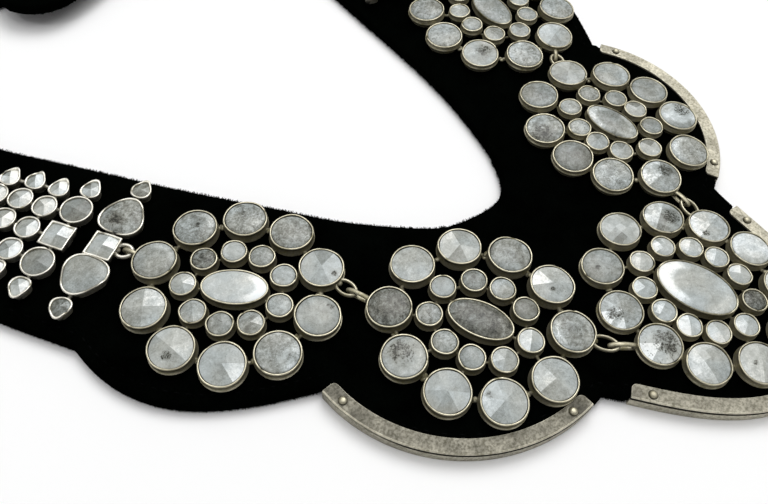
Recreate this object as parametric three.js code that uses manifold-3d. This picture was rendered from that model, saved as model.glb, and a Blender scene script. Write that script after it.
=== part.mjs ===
// Velvet collar with moonstone-like stones in antiqued metal settings, laid open on a table.
// Millimetres, +Z up. Plan positions are given from the centre of the front rosette, with +Y towards
// the back of the neck; the exported group is moved so that its origin is the middle of its base.
import * as THREE from "three";
import { mergeVertices } from "three/addons/utils/BufferGeometryUtils.js";
import Module from "manifold-3d";

const wasm = await Module();
wasm.setup();

// ---------------------------------------------------------------- driving dimensions
const GAP = 0.3; // clearance between separate pieces
const BAND = { thickness: 3.0, softEdge: 0.8, overlapLift: 4.6, capSteps: 4 };
const CLIP = { height: 3.9, flange: 3.6, sheet: 0.6, bevel: 0.4, cornerRound: 1.6, steps: 7 };
const RIVET = { fromEnd: 4.6, headRadius: 0.95, headHeight: 0.6, shankRadius: 0.4, sides: 6 };
const CUP = { base: BAND.thickness + GAP, rim: 6.5, wall: 0.5, floor: 1.3 };
const OUTER = { radius: 5.25, sides: 8, leanDeg: 7 };
const INNER = { radius: 3.1, sides: 6, leanDeg: 3 };
const OVAL = { sides: 12 };
const STONE = { girdleBelowRim: 0.45, crown: 0.75 };
const SOLDER = { radius: 0.6, bite: 1.1 };
const LINK = { height: 4.5, wire: 0.35, pastHook: 0.95, halfWidth: 1.7, halfRise: 1.05, intoCup: 0.25 };
const LATTICE = { rim: 6.0, squareCorner: 4.75 };
const LATTICE_RADIUS = { square: 3.36, trillion: 5.4, wide: 3.95, round: 3.05, drop: 2.5 };
const SNAP = { radius: 5.0, x: -5, y: 211 };

// Rosettes: centre, direction of the oval's long axis, oval half-sizes, and for the outer and inner
// ring the number of stones, the ring's half-size along and across the oval, and its starting angle.
const ROSETTES = [
  { name: "left_back", x: -60.9, y: 88.3, axis: 119, oval: [7.5, 4.3], scale: 1,
    outer: { count: 10, along: 20.4, across: 19.0, start: 2.8 },
    inner: { count: 9, along: 11.7, across: 9.6, start: 11.3 }, looseStones: false },
  { name: "left_front", x: -36.2, y: 38.0, axis: 98, oval: [7.6, 4.2], scale: 1,
    outer: { count: 10, along: 20.8, across: 19.2, start: 0 },
    inner: { count: 9, along: 11.9, across: 9.7, start: -10 }, looseStones: true },
  { name: "centre", x: -0.1, y: 0.3, axis: 91.5, oval: [9.4, 6.1], scale: 0.963,
    outer: { count: 11, along: 22.4, across: 18.9, start: 9.9 },
    inner: { count: 11, along: 13.5, across: 10.8, start: 26.1 }, looseStones: true },
  { name: "right_front", x: 36.8, y: 38.0, axis: 81.5, oval: [7.4, 4.1], scale: 1, mirrored: true,
    outer: { count: 10, along: 21.4, across: 17.6, start: 3.0 },
    inner: { count: 9, along: 12.3, across: 8.7, start: -6.1 }, looseStones: true },
  { name: "right_back", x: 58.7, y: 87.2, axis: 65, oval: [7.6, 4.3], scale: 1, mirrored: true,
    outer: { count: 10, along: 21.2, across: 19.6, start: -8.2 },
    inner: { count: 9, along: 12.0, across: 9.8, start: -17.1 }, looseStones: false },
];

// Scalloped outer edge, from the middle of the front round to each arm. Each lobe runs from the last
// notch to its own notch as a cubic curve; neck is the point of the neck edge that faces the notch.
const FRONT = { neck: [-1, 51.7], rim: [0, -33] };
const SIDES = {
  left: {
    lobes: [
      { rimOut: [-25.5, -31.3], rimIn: [-31, -0.9], rim: [-35.3, 7.4], neck: [-12.5, 55.9], steps: 6 },
      { rimOut: [-60.4, 11], rimIn: [-76.2, 35.3], rim: [-69.1, 58.9], neck: [-29.3, 79.5], steps: 8 },
      { rimOut: [-85.2, 72.6], rimIn: [-97.9, 85.9], rim: [-91.4, 108.7], neck: [-45.1, 119.6], steps: 6 },
    ],
    neckThrough: [[-5, 52.4], [-19.2, 61.9], [-36.6, 97.8]],
    arm: [
      { neck: [-54.3, 145.5], rim: [-98, 138], lift: 0 },
      { neck: [-62, 168], rim: [-99.5, 164], lift: 0 },
      { neck: [-64, 186], rim: [-94.5, 191], lift: 0 },
      { neck: [-57, 201], rim: [-79, 217], lift: 0 },
      { neck: [-44, 210.5], rim: [-56, 234.5], lift: 0 },
      { neck: [-29, 212.5], rim: [-30, 238.5], lift: 0 },
      { neck: [-14, 208.5], rim: [-6, 233], lift: 0 },
      { neck: [-1, 202.5], rim: [11.5, 225], lift: 0 },
    ],
  },
  right: {
    lobes: [
      { rimOut: [24.5, -33], rimIn: [27.8, -4], rim: [34.5, 6.6], neck: [7.5, 56.8], steps: 6 },
      { rimOut: [59, 9.1], rimIn: [74.4, 33.3], rim: [66.3, 55.9], neck: [21.5, 79.5], steps: 8 },
      { rimOut: [84, 73.3], rimIn: [95.5, 87.6], rim: [87.1, 109.6], neck: [35.8, 119.6], steps: 6 },
    ],
    neckThrough: [[2.6, 52.9], [13.2, 64.2], [28.6, 97.4]],
    arm: [
      { neck: [43.5, 144], rim: [92, 138], lift: 0 },
      { neck: [47.5, 165], rim: [87.5, 171], lift: 0 },
      { neck: [42.5, 181], rim: [70.5, 198.5], lift: 0 },
      { neck: [30, 190], rim: [47, 212.5], lift: 1.2 },
      { neck: [14, 192.5], rim: [20, 218], lift: BAND.overlapLift },
      { neck: [0, 191], rim: [0, 217], lift: BAND.overlapLift },
      { neck: [-11, 190.7], rim: [-13, 216.5], lift: BAND.overlapLift },
    ],
  },
};

// Edge clips: which lobes each one wraps, and how far along them (0 to 1) it starts and ends.
const CLIPS = [
  { name: "left", lobes: [["left", 1, 0.055, 0.985]] },
  { name: "centre", lobes: [["left", 0, 0, 0.9], ["right", 0, 0, 0.87]] },
  { name: "right", lobes: [["right", 1, 0.045, 0.97]] },
];

// Lattice of small stones on each arm, in rows across it from the rosette outwards. Local x points to
// the neck edge and y along the arm; slant drops a row's neck side. Each row gives its stones' shapes
// from the neck side outwards, and their x.
const LATTICES = [
  { name: "left", x: -69.4, y: 120.8, turn: 19.6, neckSide: 1 },
  { name: "right", x: 61, y: 119.5, turn: -11.3, neckSide: -1 },
];
const LATTICE_ROWS = [
  { at: 0, slant: 0.11, x: [17.4, 8.8, 0, -8.2, -17.3],
    shapes: ["drop", "trillion", "square", "trillion", "drop"] },
  { at: 11.5, slant: 0.11, x: [14.3, 7.9, -0.1, -7.9, -14.8],
    shapes: ["drop", "wide", "square", "wide", "drop"] },
  { at: 19.3, slant: 0.14, x: [12.7, 6.9, 0.2, -6.3, -12],
    shapes: ["drop", "round", "round", "round", "drop"] },
  { at: 26.2, slant: 0.16, x: [13.2, 7.5, 1.1, -5.2, -10.6],
    shapes: ["drop", "round", "round", "round", "drop"] },
  { at: 32.6, slant: 0.16, x: [12.7, 7.2, 0.9, -4.7],
    shapes: ["drop", "round", "round", "drop"] },
  { at: 38.9, slant: 0.16, x: [10.2, 3.9],
    shapes: ["drop", "drop"] },
];

// Where the two wire loops between neighbouring settings hook into each other, from the left lattice
// round the front to the right one.
const HOOKS = [
  { x: -66.9, y: 115.6 }, { x: -46, y: 66.3 }, { x: -24.2, y: 10.3 },
  { x: 23.7, y: 11.5 }, { x: 52.5, y: 62.4 }, { x: 59.8, y: 114.2 },
];

const MATERIALS = {
  velvet: new THREE.MeshStandardMaterial({ color: 0x0a0a0b, roughness: 1, metalness: 0 }),
  metal: new THREE.MeshStandardMaterial({ color: 0x9c957f, roughness: 0.42, metalness: 1 }),
  stone: new THREE.MeshStandardMaterial({ color: 0xc9cdcf, roughness: 0.2, metalness: 0 }),
};

// ---------------------------------------------------------------- small helpers
const radians = THREE.MathUtils.degToRad;
const lerp = THREE.MathUtils.lerp;
const vec = (point) => new THREE.Vector2(point[0], point[1]);

// Closed solid from an outline repeated at several levels. A level is { inset, z }, where z may be a
// function of x and y. The first level is flat, and the last is closed over a point at middleTop.
function stackedSolid(outline, levels, middleTop) {
  const points = [];
  const heightAt = (z, x, y) => (typeof z === "function" ? z(x, y) : z);
  for (const level of levels) {
    for (const [x, y] of outline) {
      const keep = 1 - level.inset / Math.hypot(x, y);
      points.push(x * keep, y * keep, heightAt(level.z, x * keep, y * keep));
    }
  }
  const top = points.length / 3;
  points.push(0, 0, middleTop);
  const count = outline.length;
  const faces = [];
  for (let i = 0; i < count; i++) {
    const next = (i + 1) % count;
    if (i > 0 && next > 0) faces.push(0, next, i);
    for (let k = 0; k < levels.length - 1; k++) {
      const low = k * count;
      const high = low + count;
      faces.push(low + i, low + next, high + next, low + i, high + next, high + i);
    }
    const last = (levels.length - 1) * count;
    faces.push(top, last + i, last + next);
  }
  return indexed(points, faces);
}

// Closed solid from a run of sections, each a list of [x, y, z] that goes round the same way.
function loftedSolid(sections) {
  const around = sections[0].length;
  const points = sections.flat(2);
  const faces = [];
  for (let s = 0; s < sections.length - 1; s++) {
    for (let i = 0; i < around; i++) {
      const a = s * around + i;
      const b = s * around + ((i + 1) % around);
      faces.push(a, b, b + around, a, b + around, a + around);
    }
  }
  const { area, triangulateShape } = THREE.ShapeUtils;
  for (const [end, facing] of [[0, -1], [sections.length - 1, 1]]) {
    const flat = flattened(sections[end]);
    const wanted = facing * Math.sign(area(flat));
    for (const corners of triangulateShape(flat, [])) {
      const turned = Math.sign(area(corners.map((i) => flat[i]))) !== wanted;
      faces.push(...(turned ? corners.reverse() : corners).map((i) => end * around + i));
    }
  }
  return indexed(points, faces);
}

// A section's points in its own upright plane: distance along the section, and height.
function flattened(section) {
  const [x0, y0] = section[0];
  const reach = ([x, y]) => Math.hypot(x - x0, y - y0);
  const far = section.reduce((best, p) => (reach(p) > reach(best) ? p : best));
  const along = new THREE.Vector2(far[0] - x0, far[1] - y0).normalize();
  return section.map((p) => new THREE.Vector2((p[0] - x0) * along.x + (p[1] - y0) * along.y, p[2]));
}

function indexed(points, faces) {
  const geometry = new THREE.BufferGeometry();
  geometry.setAttribute("position", new THREE.Float32BufferAttribute(points, 3));
  geometry.setIndex(faces);
  return geometry;
}

// three.js geometry to a solid and back; a shape that was wound inside out is turned.
function solid(geometry) {
  const bare = geometry.clone();
  bare.deleteAttribute("normal");
  bare.deleteAttribute("uv");
  const merged = mergeVertices(bare, 1e-4);
  const build = (index) => new wasm.Manifold(new wasm.Mesh({
    numProp: 3,
    vertProperties: new Float32Array(merged.attributes.position.array),
    triVerts: new Uint32Array(index),
  }));
  const faces = Array.from(merged.index.array);
  const made = build(faces);
  return made.volume() > 0 ? made : build(faces.reverse());
}

function geometryOf(manifold) {
  const mesh = manifold.getMesh();
  const geometry = new THREE.BufferGeometry();
  geometry.setAttribute("position", new THREE.BufferAttribute(mesh.vertProperties, mesh.numProp));
  geometry.setIndex(new THREE.BufferAttribute(mesh.triVerts, 1));
  return geometry;
}

const joined = (geometries) => geometries.map(solid).reduce((all, next) => all.add(next));

function namedMesh(name, geometry, material, parent) {
  const mesh = new THREE.Mesh(geometry, material);
  mesh.name = name;
  parent.add(mesh);
  return mesh;
}

// ---------------------------------------------------------------- outlines of stones and cups
function roundOutline(radius, sides) {
  return ovalOutline(radius, radius, sides);
}

function ovalOutline(halfX, halfY, sides) {
  return Array.from({ length: sides }, (_, i) => {
    const angle = ((i + 0.5) / sides) * 2 * Math.PI;
    return [halfX * Math.cos(angle), halfY * Math.sin(angle)];
  });
}

// Rounded triangle; one corner points at cornerDeg.
function trillionOutline(radius, cornerDeg, sides) {
  return Array.from({ length: sides }, (_, i) => {
    const angle = radians(cornerDeg) + (i / sides) * 2 * Math.PI;
    const reach = radius * (1 + 0.15 * Math.cos(3 * (angle - radians(cornerDeg))));
    return [reach * Math.cos(angle), reach * Math.sin(angle)];
  });
}

// Height that falls away from the rosette's middle: towards is the outward direction in radians.
function leaning(z, leanDeg, towards) {
  const slope = Math.tan(radians(leanDeg));
  return (x, y) => z - slope * (x * Math.cos(towards) + y * Math.sin(towards));
}

// A cup open at the top, for a loose stone.
function openCup(outline, rim, leanDeg = 0, towards = 0) {
  return stackedSolid(outline, [
    { inset: 0, z: CUP.base },
    { inset: 0, z: leaning(rim, leanDeg, towards) },
    { inset: CUP.wall, z: leaning(rim, leanDeg, towards) },
    { inset: CUP.wall, z: CUP.base + CUP.floor },
  ], CUP.base + CUP.floor);
}

// A cup with its stone in one solid.
function filledCup(outline, rim, leanDeg = 0, towards = 0) {
  return stackedSolid(outline, [
    { inset: 0, z: CUP.base },
    { inset: 0, z: leaning(rim - 0.2, leanDeg, towards) },
  ], rim + 0.2);
}

// The loose stone: flat back, upright girdle and a low crown of facets that meet in the middle.
function looseStone(outline, rim, leanDeg = 0, towards = 0) {
  const inset = CUP.wall + GAP;
  return stackedSolid(outline, [
    { inset, z: CUP.base + CUP.floor + GAP },
    { inset, z: leaning(rim - STONE.girdleBelowRim, leanDeg, towards) },
  ], rim - STONE.girdleBelowRim + STONE.crown);
}

function placed(geometry, { x, y }) {
  return geometry.translate(x, y, 0);
}

function turnedGroup(x, y, turnDeg) {
  const group = new THREE.Group();
  group.position.set(x, y, 0);
  group.rotation.z = radians(turnDeg);
  group.updateMatrixWorld();
  return group;
}

// Solder bar between two cups; each is { x, y, reach }, where reach is its radius.
function solderBar(from, to) {
  const span = new THREE.Vector2(to.x - from.x, to.y - from.y);
  const between = span.length() - from.reach - to.reach + 2 * SOLDER.bite;
  const middle = (from.reach - SOLDER.bite + between / 2) / span.length();
  return new THREE.CylinderGeometry(SOLDER.radius, SOLDER.radius, between, 3)
    .rotateZ(Math.PI / 2)
    .rotateZ(span.angle())
    .translate(lerp(from.x, to.x, middle), lerp(from.y, to.y, middle), CUP.base + CUP.floor / 2);
}

const nearest = (list, item) => list.reduce((best, other) => (
  Math.hypot(other.x - item.x, other.y - item.y) - other.reach
    < Math.hypot(best.x - item.x, best.y - item.y) - best.reach ? other : best));

// ---------------------------------------------------------------- velvet band
const cubic = (a, b, c, d) => new THREE.CubicBezierCurve(vec(a), vec(b), vec(c), vec(d));

function lobeCurve(side, index) {
  const { lobes } = SIDES[side];
  const start = index === 0 ? FRONT.rim : lobes[index - 1].rim;
  return cubic(start, lobes[index].rimOut, lobes[index].rimIn, lobes[index].rim);
}

// Stations of one half of the band, from the front to the arm's end: { neck, rim, lift }.
function halfStations(side) {
  const { lobes, neckThrough, arm } = SIDES[side];
  const neckPoints = [FRONT.neck];
  lobes.forEach((lobe, i) => neckPoints.push(neckThrough[i], lobe.neck));
  arm.forEach((row) => neckPoints.push(row.neck));
  const neckCurve = new THREE.SplineCurve(neckPoints.map(vec));
  const armRim = new THREE.SplineCurve([vec(lobes.at(-1).rim), ...arm.map((row) => vec(row.rim))]);
  const spans = neckPoints.length - 1;
  const stations = [];
  lobes.forEach((lobe, i) => {
    const rimCurve = lobeCurve(side, i);
    for (let s = 0; s < lobe.steps; s++) {
      const t = s / lobe.steps;
      const neck = neckCurve.getPoint((2 * (i + t)) / spans);
      stations.push({ neck, rim: rimCurve.getPointAt(t), lift: 0 });
    }
  });
  const armSteps = 2;
  const lifts = [0, ...arm.map((row) => row.lift)];
  for (let s = 0; s <= arm.length * armSteps; s++) {
    const row = s / armSteps;
    const low = Math.min(Math.floor(row), arm.length - 1);
    const ease = THREE.MathUtils.smoothstep(row - low, 0, 1);
    stations.push({
      neck: neckCurve.getPoint((2 * lobes.length + row) / spans),
      rim: armRim.getPoint(row / arm.length),
      lift: lerp(lifts[low], lifts[low + 1], ease),
    });
  }
  return stations.concat(roundedEnd(stations.at(-1), stations.at(-2)));
}

// The half-round end of an arm, past its last station.
function roundedEnd(last, before) {
  const middle = last.neck.clone().lerp(last.rim, 0.5);
  const middleBefore = before.neck.clone().lerp(before.rim, 0.5);
  const half = last.neck.distanceTo(last.rim) / 2;
  const onward = middle.clone().sub(middleBefore).normalize();
  return Array.from({ length: BAND.capSteps }, (_, i) => {
    const angle = ((i + 1) / (BAND.capSteps + 0.5)) * (Math.PI / 2);
    const drawnIn = (edge) => (
      middle.clone().lerp(edge, Math.cos(angle)).addScaledVector(onward, half * Math.sin(angle)));
    return { neck: drawnIn(last.neck), rim: drawnIn(last.rim), lift: last.lift };
  });
}

// One section across the band: flat below, with soft sides.
function bandSection({ neck, rim, lift }) {
  const width = neck.distanceTo(rim);
  const soft = Math.min(BAND.softEdge, width / 3);
  const at = (distance, z) => {
    const p = neck.clone().lerp(rim, distance / width);
    return [p.x, p.y, lift + z];
  };
  return [
    at(soft, 0), at(0, BAND.thickness / 2), at(soft, BAND.thickness),
    at(width - soft, BAND.thickness), at(width, BAND.thickness / 2), at(width - soft, 0),
  ];
}

function bandSolid() {
  const left = halfStations("left").reverse();
  const right = halfStations("right").slice(1);
  return solid(loftedSolid([...left, ...right].map(bandSection)));
}

// ---------------------------------------------------------------- edge clips and rivets
// The clip's path along the band's outer edge as a list of { point, inward }.
function clipPath(clip, extra = 0) {
  const spots = [];
  const wrapsFront = clip.lobes.length === 2;
  clip.lobes.forEach(([side, index, from, to], run) => {
    const reversed = wrapsFront && run === 0;
    const curve = lobeCurve(side, index);
    const stretch = extra / curve.getLength();
    const low = wrapsFront ? from : from - stretch;
    const turn = side === "left" ? -1 : 1;
    for (let s = 0; s <= CLIP.steps; s++) {
      const t = lerp(low, to + stretch, (reversed ? CLIP.steps - s : s) / CLIP.steps);
      const tangent = curve.getTangentAt(THREE.MathUtils.clamp(t, 0, 1));
      spots.push({
        point: curve.getPointAt(THREE.MathUtils.clamp(t, 0, 1)),
        inward: new THREE.Vector2(-tangent.y * turn, tangent.x * turn),
      });
    }
    if (reversed) spots.pop();
  });
  return spots;
}

// How far the flange reaches at each spot: full, with rounded inner corners at both ends.
function flangeReach(spots, index) {
  const last = spots.length - 1;
  const fromEnd = Math.min(spots[index].point.distanceTo(spots[0].point),
    spots[index].point.distanceTo(spots[last].point));
  const short = Math.max(0, CLIP.cornerRound - fromEnd);
  return CLIP.flange - (CLIP.cornerRound - Math.sqrt(CLIP.cornerRound ** 2 - short ** 2));
}

// Extra spots close to both ends carry the rounded corners.
function withCornerSpots(spots) {
  const steps = [0.3, 1];
  const near = (a, b) => steps.map((step) => {
    const share = (step * CLIP.cornerRound) / a.point.distanceTo(b.point);
    return {
      point: a.point.clone().lerp(b.point, share),
      inward: a.inward.clone().lerp(b.inward, share).normalize(),
    };
  });
  const last = spots.length - 1;
  return [
    spots[0], ...near(spots[0], spots[1]), ...spots.slice(1, last),
    ...near(spots[last], spots[last - 1]).reverse(), spots[last],
  ];
}

function sweep(spots, sectionAt) {
  return loftedSolid(spots.map(({ point, inward }, i) => sectionAt(i).map(([depth, z]) => (
    [point.x + inward.x * depth, point.y + inward.y * depth, z]))));
}

function clipSolid(clip) {
  const spots = withCornerSpots(clipPath(clip));
  const { height, sheet, bevel } = CLIP;
  return solid(sweep(spots, (i) => {
    const reach = flangeReach(spots, i);
    return [
      [0, 0], [0, height - bevel], [bevel, height], [reach, height], [reach, height - sheet],
      [sheet, height - sheet], [sheet, sheet], [reach, sheet], [reach, 0],
    ];
  }));
}

// The room that the clip and its clearance take out of the band.
function clipRoom(clip) {
  const { height, sheet, flange } = CLIP;
  const beyond = 2;
  return solid(sweep(clipPath(clip, GAP), () => [
    [-beyond, -beyond], [-beyond, height], [sheet + GAP, height],
    [sheet + GAP, sheet + GAP], [flange + GAP, sheet + GAP], [flange + GAP, -beyond],
  ]));
}

function rivetSpots(clip) {
  const spots = clipPath(clip);
  const inFrom = (a, b) => {
    const along = b.point.clone().sub(a.point).normalize();
    return a.point.clone().addScaledVector(along, RIVET.fromEnd).addScaledVector(a.inward, CLIP.flange / 2);
  };
  return [inFrom(spots[0], spots[2]), inFrom(spots.at(-1), spots.at(-3))];
}

function rivetGeometry() {
  const { headRadius, headHeight, shankRadius, sides } = RIVET;
  const under = CLIP.height + GAP;
  return new THREE.LatheGeometry([
    [0, GAP], [shankRadius, GAP], [shankRadius, under], [headRadius, under],
    [headRadius * 0.75, under + headHeight * 0.7], [0, under + headHeight],
  ].map(vec), sides).rotateX(Math.PI / 2);
}

function rivetHole(spot) {
  const length = 3 * CLIP.height;
  return solid(new THREE.CylinderGeometry(RIVET.shankRadius + GAP, RIVET.shankRadius + GAP, length, 6)
    .rotateX(Math.PI / 2)
    .translate(spot.x, spot.y, 0));
}

// ---------------------------------------------------------------- rosettes
// Cup places of one ring, in the rosette's own frame with the oval along y.
function ringPlaces(rosette, ring, size) {
  const way = rosette.mirrored ? -1 : 1;
  return Array.from({ length: ring.count }, (_, i) => {
    const angle = radians(ring.start + (360 / ring.count) * i);
    const reach = 1 / Math.hypot(Math.cos(angle) / ring.across, Math.sin(angle) / ring.along);
    const x = way * reach * Math.cos(angle);
    const y = reach * Math.sin(angle);
    return { x, y, reach: size.radius * rosette.scale, towards: Math.atan2(y, x), leanDeg: size.leanDeg };
  });
}

function rosetteSetting(rosette) {
  const outer = ringPlaces(rosette, rosette.outer, OUTER);
  const inner = ringPlaces(rosette, rosette.inner, INNER);
  const [halfLong, halfShort] = rosette.oval;
  const oval = ovalOutline(halfShort + CUP.wall / 2, halfLong + CUP.wall / 2, OVAL.sides);
  const cupAt = (make, sides) => (p) => (
    placed(make(roundOutline(p.reach, sides), CUP.rim, p.leanDeg, p.towards), p));
  const cups = [
    openCup(oval, CUP.rim),
    ...outer.map(cupAt(rosette.looseStones ? openCup : filledCup, OUTER.sides)),
    ...inner.map(cupAt(filledCup, INNER.sides)),
  ];
  const ovalEnds = [-1, 1].map((end) => ({ x: 0, y: (end * halfLong) / 2, reach: halfLong / 2 }));
  const bars = [
    ...outer.map((p, i) => solderBar(p, outer[(i + 1) % outer.length])),
    ...inner.map((p) => solderBar(p, nearest(outer, p))),
    ...ovalEnds.map((end) => solderBar(end, nearest(inner, end))),
  ];
  const stones = rosette.looseStones ? outer.map((p, i) => ({
    name: `stone_${rosette.name}_${i + 1}`,
    at: p,
    geometry: looseStone(roundOutline(p.reach, OUTER.sides), CUP.rim, p.leanDeg, p.towards),
  })) : [];
  const middle = { x: 0, y: 0 };
  stones.push({ name: `oval_stone_${rosette.name}`, at: middle, geometry: looseStone(oval, CUP.rim) });
  return {
    name: `setting_${rosette.name}`,
    group: turnedGroup(rosette.x, rosette.y, rosette.axis - 90),
    linkCups: outer, metal: joined([...cups, ...bars]), stones,
  };
}

// ---------------------------------------------------------------- lattices
function latticePlaces(lattice) {
  return LATTICE_ROWS.flatMap((row, rowIndex) => row.x.map((x, i) => ({
    shape: row.shapes[i],
    row: rowIndex,
    x: lattice.neckSide * x,
    y: row.at - row.slant * x,
    cornerDeg: lattice.neckSide * x > 0 ? -5 : 185,
    reach: 0.92 * LATTICE_RADIUS[row.shapes[i]],
  })));
}

function latticeOutline({ shape, cornerDeg }) {
  if (shape === "square") return roundOutline(LATTICE.squareCorner, 4);
  if (shape === "trillion") return trillionOutline(LATTICE_RADIUS.trillion, cornerDeg, 9);
  if (shape === "drop") return trillionOutline(LATTICE_RADIUS.drop, cornerDeg, 6);
  return roundOutline(LATTICE_RADIUS[shape], INNER.sides);
}

function latticeSetting(lattice) {
  const places = latticePlaces(lattice);
  const cups = places.map((p) => (
    placed((p.shape === "trillion" ? openCup : filledCup)(latticeOutline(p), LATTICE.rim), p)));
  const bars = places.slice(1).map((p, i) => {
    const sameRow = places[i].row === p.row;
    return solderBar(p, sameRow ? places[i] : nearest(places.filter((q) => q.row === p.row - 1), p));
  });
  const stones = places.filter((p) => p.shape === "trillion").map((p, i) => ({
    name: `trillion_stone_${lattice.name}_${i + 1}`,
    at: p,
    geometry: looseStone(latticeOutline(p), LATTICE.rim),
  }));
  return {
    name: `lattice_${lattice.name}`,
    group: turnedGroup(lattice.x, lattice.y, lattice.turn),
    linkCups: places.filter((p) => p.row === 0 && p.shape === "square"),
    metal: joined([...cups, ...bars]), stones,
  };
}

// ---------------------------------------------------------------- links between settings
// Two wire loops hooked through each other: the first setting's lies flat, the second's stands up.
// Each is fused to its own setting's nearest cup, reaches just past the hook and clears the other.
function addLink(first, second, hook) {
  [first, second].forEach((setting, i) => {
    const place = setting.group.worldToLocal(new THREE.Vector3(hook.x, hook.y, LINK.height));
    const cup = nearest(setting.linkCups, place);
    const onward = new THREE.Vector2(place.x - cup.x, place.y - cup.y);
    const start = cup.reach * Math.cos(Math.PI / OUTER.sides) - LINK.intoCup;
    const half = (onward.length() - start + LINK.pastHook) / 2;
    const loop = wireLoop(half, i === 0 ? LINK.halfWidth : LINK.halfRise);
    if (i === 1) loop.rotateX(Math.PI / 2);
    loop.translate(start + half, 0, 0).rotateZ(onward.angle()).translate(cup.x, cup.y, LINK.height);
    setting.metal = setting.metal.add(solid(loop));
  });
}

function wireLoop(halfLength, halfWidth) {
  return new THREE.TorusGeometry(halfLength, LINK.wire, 3, 8).scale(1, halfWidth / halfLength, 1);
}

// ---------------------------------------------------------------- assembly
const choker = new THREE.Group();

const rivetPlaces = CLIPS.map(rivetSpots);
let band = bandSolid();
CLIPS.forEach((clip, i) => {
  band = band.subtract(clipRoom(clip));
  for (const spot of rivetPlaces[i]) band = band.subtract(rivetHole(spot));
});
const bandMesh = namedMesh("velvet_band", geometryOf(band), MATERIALS.velvet, choker);

CLIPS.forEach((clip, i) => {
  let metal = clipSolid(clip);
  rivetPlaces[i].forEach((spot, k) => {
    metal = metal.subtract(rivetHole(spot));
    const rivet = namedMesh(`rivet_${clip.name}_${k + 1}`, rivetGeometry(), MATERIALS.metal, choker);
    rivet.position.set(spot.x, spot.y, 0);
  });
  namedMesh(`edge_clip_${clip.name}`, geometryOf(metal), MATERIALS.metal, choker);
});

const [latticeLeft, latticeRight] = LATTICES.map(latticeSetting);
const settings = [latticeLeft, ...ROSETTES.map(rosetteSetting), latticeRight];
HOOKS.forEach((hook, i) => addLink(settings[i], settings[i + 1], hook));
for (const { name, group, metal, stones } of settings) {
  choker.add(group);
  namedMesh(name, geometryOf(metal), MATERIALS.metal, group);
  for (const stone of stones) {
    namedMesh(stone.name, stone.geometry, MATERIALS.stone, group).position.set(stone.at.x, stone.at.y, 0);
  }
}

const snapHeight = BAND.overlapLift - BAND.thickness - 2 * GAP;
const snap = new THREE.CylinderGeometry(SNAP.radius, SNAP.radius, snapHeight, 12).rotateX(Math.PI / 2);
namedMesh("snap_fastener", snap, MATERIALS.metal, choker)
  .position.set(SNAP.x, SNAP.y, BAND.thickness + BAND.overlapLift / 2 - BAND.thickness / 2);

// The origin is the middle of the whole collar's box, on the surface that it lies on.
const middle = new THREE.Box3().setFromObject(choker, true).getCenter(new THREE.Vector3());
choker.position.set(-middle.x, -middle.y, 0);

export default choker;
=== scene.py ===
"""Velvet collar with moonstones in antiqued settings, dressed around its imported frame."""
import math
import random

import bmesh
import bpy
import numpy as np
from mathutils import Matrix, Vector, noise


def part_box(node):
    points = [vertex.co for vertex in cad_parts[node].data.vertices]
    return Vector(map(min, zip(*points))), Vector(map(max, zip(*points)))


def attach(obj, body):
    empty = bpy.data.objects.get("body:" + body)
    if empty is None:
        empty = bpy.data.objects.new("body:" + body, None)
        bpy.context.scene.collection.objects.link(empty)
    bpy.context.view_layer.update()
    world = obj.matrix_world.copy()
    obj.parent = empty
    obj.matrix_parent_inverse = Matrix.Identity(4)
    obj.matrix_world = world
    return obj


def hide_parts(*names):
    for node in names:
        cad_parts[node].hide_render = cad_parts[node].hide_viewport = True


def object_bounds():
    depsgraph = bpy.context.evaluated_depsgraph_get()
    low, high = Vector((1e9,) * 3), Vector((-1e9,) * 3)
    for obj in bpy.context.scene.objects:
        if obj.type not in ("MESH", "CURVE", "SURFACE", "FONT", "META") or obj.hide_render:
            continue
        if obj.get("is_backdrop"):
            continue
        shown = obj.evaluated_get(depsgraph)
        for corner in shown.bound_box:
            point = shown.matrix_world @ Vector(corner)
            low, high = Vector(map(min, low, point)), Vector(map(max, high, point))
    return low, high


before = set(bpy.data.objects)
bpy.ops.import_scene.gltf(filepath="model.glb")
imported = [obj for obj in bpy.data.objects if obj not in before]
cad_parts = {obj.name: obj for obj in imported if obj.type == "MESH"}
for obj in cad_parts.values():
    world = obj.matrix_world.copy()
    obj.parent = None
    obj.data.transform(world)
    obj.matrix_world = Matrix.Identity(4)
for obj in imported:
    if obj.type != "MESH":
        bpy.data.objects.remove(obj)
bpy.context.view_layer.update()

MM = 0.001
radians = math.radians

# ------------------------------------------------------------------ sizes, in millimetres
# Plan places are given from the centre of the front rosette, +Y towards the back of the neck.
VELVET_TOP, SIDE_ROLL, PRESSED_IN = 3.3, 1.5, 0.95
RIM_STEP, STATIONS_PER_ROW = 1.3, 16
TUFT_STEP, TUFT_HEIGHTS = 0.2, (0.5, 1.15, 1.85, 2.5)
STITCH_STEP, STITCH_INSET, STITCH_INSET_AT_CLIP = 2.5, 3.1, 4.6
CUP_FOOT, STEM_TOP, CUP_RIM = 3.3, 4.4, 6.5
LEAN_OUTER, LEAN_INNER, LEAN_AT = 3.5, 1.5, 5.2
STONE_RADIUS, STONE_DEPTH, GIRDLE_OVER_LEAN = 4.6, 1.1, 1.02
NICK = 0.7
SOLDER_HEIGHT, LOW_SOLDER, LATTICE_SOLDER, SOLDER_BITE, LINK_HEIGHT = 4.1, 4.0, 4.6, 0.6, 4.5
FOOT_AT = {"left_back": 4.0, "left_front": 3.9, "centre": 4.35, "right_front": 4.75, "right_back": 4.75}
CUP_RADIUS = {"outer": 5.25, "inner": 3.1}
OVERLAP_LIFT = 4.6

low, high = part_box("oval_stone_centre")
ORIGIN = (low + high) / 2 - Vector((-0.1, 0.3, 0)) * MM
ORIGIN.z = 0


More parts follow.
